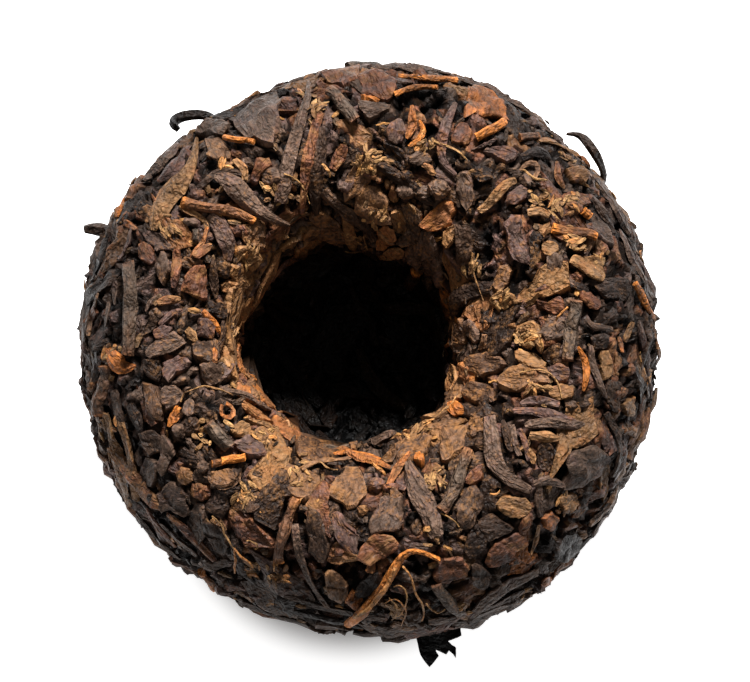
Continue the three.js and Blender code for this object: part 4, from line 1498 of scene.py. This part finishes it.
# ---- Leaf pressed in between ----
# What fills the rest: leaves of every size that the steam softened and the press squeezed against each
# other, until each one filled the place that its neighbours left it. Narrow gaps part them, dark by
# their depth and made black by painted shade.
directions = np.arange(16) * math.tau / 16
leaf_flush_depth = 0.25 * mm  # how much lower a leaf lies on the outside


def scattered_leaf(place, draw, half_length, half_width, lift, thickness, tilt):
    """A row for a leaf laid by chance: its sizes are drawn between two limits, in metres."""
    on, out, way, side = cake_frame(place, lie_of_leaf(place) + draw.normal(0, 0.45))
    size = draw.uniform(0, 1) ** 1.4
    long = half_length[0] + (half_length[1] - half_length[0]) * size
    wide = half_width[0] + (half_width[1] - half_width[0]) * size * draw.uniform(0.5, 1)
    tilt *= 1 - 0.75 * outside(on)
    return {
        "on": on, "out": out, "way": way, "side": side, "long": long, "wide": wide,
        "tint": draw.uniform(0, 1), "lift": draw.uniform(*lift) - leaf_flush_depth * outside(on),
        "thickness": draw.uniform(*thickness), "tilt": draw.normal(0, tilt),
        "pitch": draw.normal(0, tilt / 2), "fold": draw.uniform(0.22, 0.5) * mm,
        "ridge": draw.uniform(0.08, 0.2) * mm,
    }


least_room = 0.5 * mm  # a leaf nearer than this to a larger piece, or smaller than this, is dropped
least_reach = 0.15 * mm
layer = 3 * mm  # how far apart in height two leaves hardly crowd each other


def fit_together(rows, gap):
    """Cuts each leaf's reach back to where a neighbour, measured by its own length and width, is nearer,
    or where a larger piece already lies. What is left with hardly any room is dropped."""
    ons, outs, ways, sides, longs, wides = (
        np.array([row[key] for row in rows]) for key in ("on", "out", "way", "side", "long", "wide")
    )
    lying = covered()
    steps = np.linspace(0.15, 1.6, 26)
    kept = []
    for i, row in enumerate(rows):
        if lying.find(row["on"])[2] < least_room:
            continue
        apart = np.linalg.norm(ons - row["on"], axis=1)
        near = np.flatnonzero((apart < 1.6 * row["long"] + 1.2 * longs) & (apart > 0))
        reach = row["long"] * row["wide"] / np.hypot(
            row["wide"] * np.cos(directions), row["long"] * np.sin(directions)
        )
        far = reach[:, None] * steps
        x, y = far * np.cos(directions)[:, None], far * np.sin(directions)[:, None]
        spots = row["on"] + x[..., None] * row["way"] + y[..., None] * row["side"]
        offset = spots[:, :, None] - ons[near]
        theirs = np.sqrt(
            (np.einsum("dsnk,nk->dsn", offset, ways[near]) / longs[near]) ** 2
            + (np.einsum("dsnk,nk->dsn", offset, sides[near]) / wides[near]) ** 2
            + (np.einsum("dsnk,nk->dsn", offset, outs[near]) / layer) ** 2
        ).min(axis=2)
        free = steps < theirs
        for turn in range(len(directions)):
            for step in range(len(steps)):
                if free[turn, step] and lying.find(spots[turn, step])[2] < clearance:
                    free[turn, step:] = False
        first_blocked = np.where(free.all(axis=1), len(steps), np.argmin(free, axis=1))
        fitted = reach * np.where(first_blocked > 0, steps[np.maximum(first_blocked - 1, 0)] + 0.03, 0.1)
        fitted = 0.9 * fitted + 0.05 * (np.roll(fitted, 1) + np.roll(fitted, -1)) - gap[i]
        if fitted.mean() >= least_room:
            row["reach"] = np.maximum(fitted, least_reach)
            kept.append(row)
    return kept


# The mass gives way under the larger pieces, and falls back in the pockets.
give_way, give_depth = 0.7 * mm, 0.4 * mm  # how near a piece it gives way, and how deep
points = points_of(core)
lying = covered()
hole = in_pocket(points)
give = np.zeros(len(points))
for i, point in enumerate(points):
    if lying.find(point)[2] < give_way or hole[i] > 0:
        on, out, _, _ = form.find_nearest(Vector(point))
        give[i] = max(0, np.dot(point - np.array(on), out) + give_depth) + pocket_depth * hole[i]
        points[i] -= give[i] * np.array(out)
points[:, 2] = np.maximum(points[:, 2], 0)
set_points(core, points)
# Where the mass gives way, and in the pockets most, its sunk value falls, which deepens the painted
# shade.
sunk = core.data.attributes["sunk"].data
for i in np.flatnonzero(give):
    sunk[i].value -= give[i] / mm
draw = np.random.default_rng(22)
rows = [
    scattered_leaf(
        place, draw, half_length=(1.4 * mm, 7.0 * mm), half_width=(0.6 * mm, 2.4 * mm),
        lift=(-0.2 * mm, 0.15 * mm), thickness=(0.15 * mm, 0.4 * mm), tilt=0.14,
    )
    for place in even_places(800, draw)
]
rows = fit_together(rows, draw.uniform(-0.6 * mm, 0.2 * mm, len(rows)))
hole = in_pocket(np.array([row["on"] for row in rows]))
rows = [row for row, deep in zip(rows, hole) if deep == 0]
between_rings = [0.3, 0.6, 0.82, 0.93, 1.0]
between_shapes = [
    leaf_pillow(
        "pressed_leaf_form", draw, 16, between_rings,
        shoulder=draw.uniform(1.0, 1.8), crumple=draw.uniform(0.12, 0.3),
    )
    for _ in range(12)
]
dark_between, brown_between = Pieces(), Pieces()
for row in rows:
    shape = between_shapes[draw.integers(len(between_shapes))]
    near_hollow = 1 - smoothstep(np.hypot(row["on"][0] - hollow_shift, row["on"][1]), 15 * mm, 24 * mm)
    kind = brown_between if draw.random() < 0.25 + 0.45 * near_hollow else dark_between
    kind.add(lay_leaf(row, shape), shape["faces"], row["tint"])
finish = leaf_finish("dark_leaf", dark_shades, leaf_dust, dusty=0.3)
dark_between.join("dark_leaf", finish, "pressed_leaf")
finish = leaf_finish("brown_leaf", brown_shades, brown_dust, dusty=0.4)
brown_between.join("brown_leaf", finish, "brown_leaf")


# ---- Crumbs ----
# Leaf that broke up when the tea was rolled and sorted. The press packed it into the gaps between the
# larger pieces, and a little of it lies loose on top.
draw = np.random.default_rng(38)
crumb_shapes = [
    rod("crumb_form", 5, 3, draw, taper=(0.5, 0.9), twist=1, ridges=0.1, crumple=0.35) for _ in range(6)
]
crumbs = Pieces()
for place in even_places(1200, draw):
    row = scattered_rod(
        place + draw.normal(0, 0.6 * mm, 3), draw, length=(0.6 * mm, 2.2 * mm),
        width=(0.4 * mm, 1.1 * mm), lift=(-0.4 * mm, 0.3 * mm), flat=0.5,
    )
    shape = crumb_shapes[draw.integers(len(crumb_shapes))]
    if in_pocket(row["route"][[route_points // 2]])[0] == 0:
        crumbs.add(lay_rod(row, shape), shape["faces"], row["tint"])
crumb_shades = [
    (0, (0.012, 0.008, 0.006)),
    (0.4, (0.04, 0.024, 0.015)),
    (0.75, (0.10, 0.055, 0.025)),
    (1, (0.26, 0.12, 0.035)),
]
crumbs.join("crumbs", leaf_finish("crumb", crumb_shades, leaf_dust, dusty=0.3), "brown_leaf")


# ---- The table and the light ----
# A plain white table that glows, lit by one soft light from beyond the cake and a weak light all round.
# Its glow fades under the near side of the cake, which leaves the soft shadow that the photograph shows.
shade_px = (352, 470)  # the middle of the soft shadow
shade_dark_px, shade_clear_px = 158, 198  # how far from its middle it starts to fade and has gone
shade_depth = 0.15
table_size, table_glow, table_roughness = 4, 0.87, 0.8
table_white = (0.9, 0.9, 0.9, 1)
down = sight_line(shade_px)
shade_middle = camera_place - down * camera_place.z / down.z
shade_scale = (shade_middle - camera_place).length / camera_distance / px_per_m

bpy.ops.object.select_all(action="DESELECT")
bpy.ops.mesh.primitive_plane_add(size=table_size)
table = bpy.context.object
table.name = "table"
white = bpy.data.materials.new("white_table")
white.use_nodes = True
white_shader = white.node_tree.nodes["Principled BSDF"]
white_shader.inputs["Base Color"].default_value = table_white
white_shader.inputs["Roughness"].default_value = table_roughness
white_shader.inputs["Emission Strength"].default_value = table_glow
tree = Finish(white)
place = tree.node("ShaderNodeTexCoord", output="Object")
apart = tree.node(
    "ShaderNodeVectorMath", {"operation": "DISTANCE"}, {0: place, 1: shade_middle}, output="Value"
)
fade = {
    "Value": apart,
    "From Min": shade_dark_px * shade_scale,
    "From Max": shade_clear_px * shade_scale,
    "To Min": shade_depth,
}
glow = tree.node("ShaderNodeMapRange", {"interpolation_type": "SMOOTHSTEP"}, fade)
glow.feed(white_shader, "Emission Color")
table.data.materials.append(white)

key_azimuth, key_elevation = math.radians(82), math.radians(44)
key_distance, key_size, key_power = 0.8, 0.16, 18.5
weak_colour, weak_power = (1, 0.98, 0.96, 1), 0.25
key_level = math.cos(key_elevation)
key_way = Vector(
    (math.cos(key_azimuth) * key_level, math.sin(key_azimuth) * key_level, math.sin(key_elevation))
)
bpy.ops.object.light_add(type="AREA", location=cake_middle + key_way * key_distance)
key = bpy.context.object
key.name = "key_light"
key.data.shape = "DISK"
key.data.size = key_size
key.data.energy = key_power
key.rotation_euler = key_way.to_track_quat("Z", "Y").to_euler()

world = bpy.data.worlds.new("studio")
bpy.context.scene.world = world
world.use_nodes = True
weak_light = world.node_tree.nodes["Background"].inputs
weak_light["Color"].default_value = weak_colour
weak_light["Strength"].default_value = weak_power

bpy.context.scene.view_settings.view_transform = "Standard"
bpy.context.scene.view_settings.look = "None"
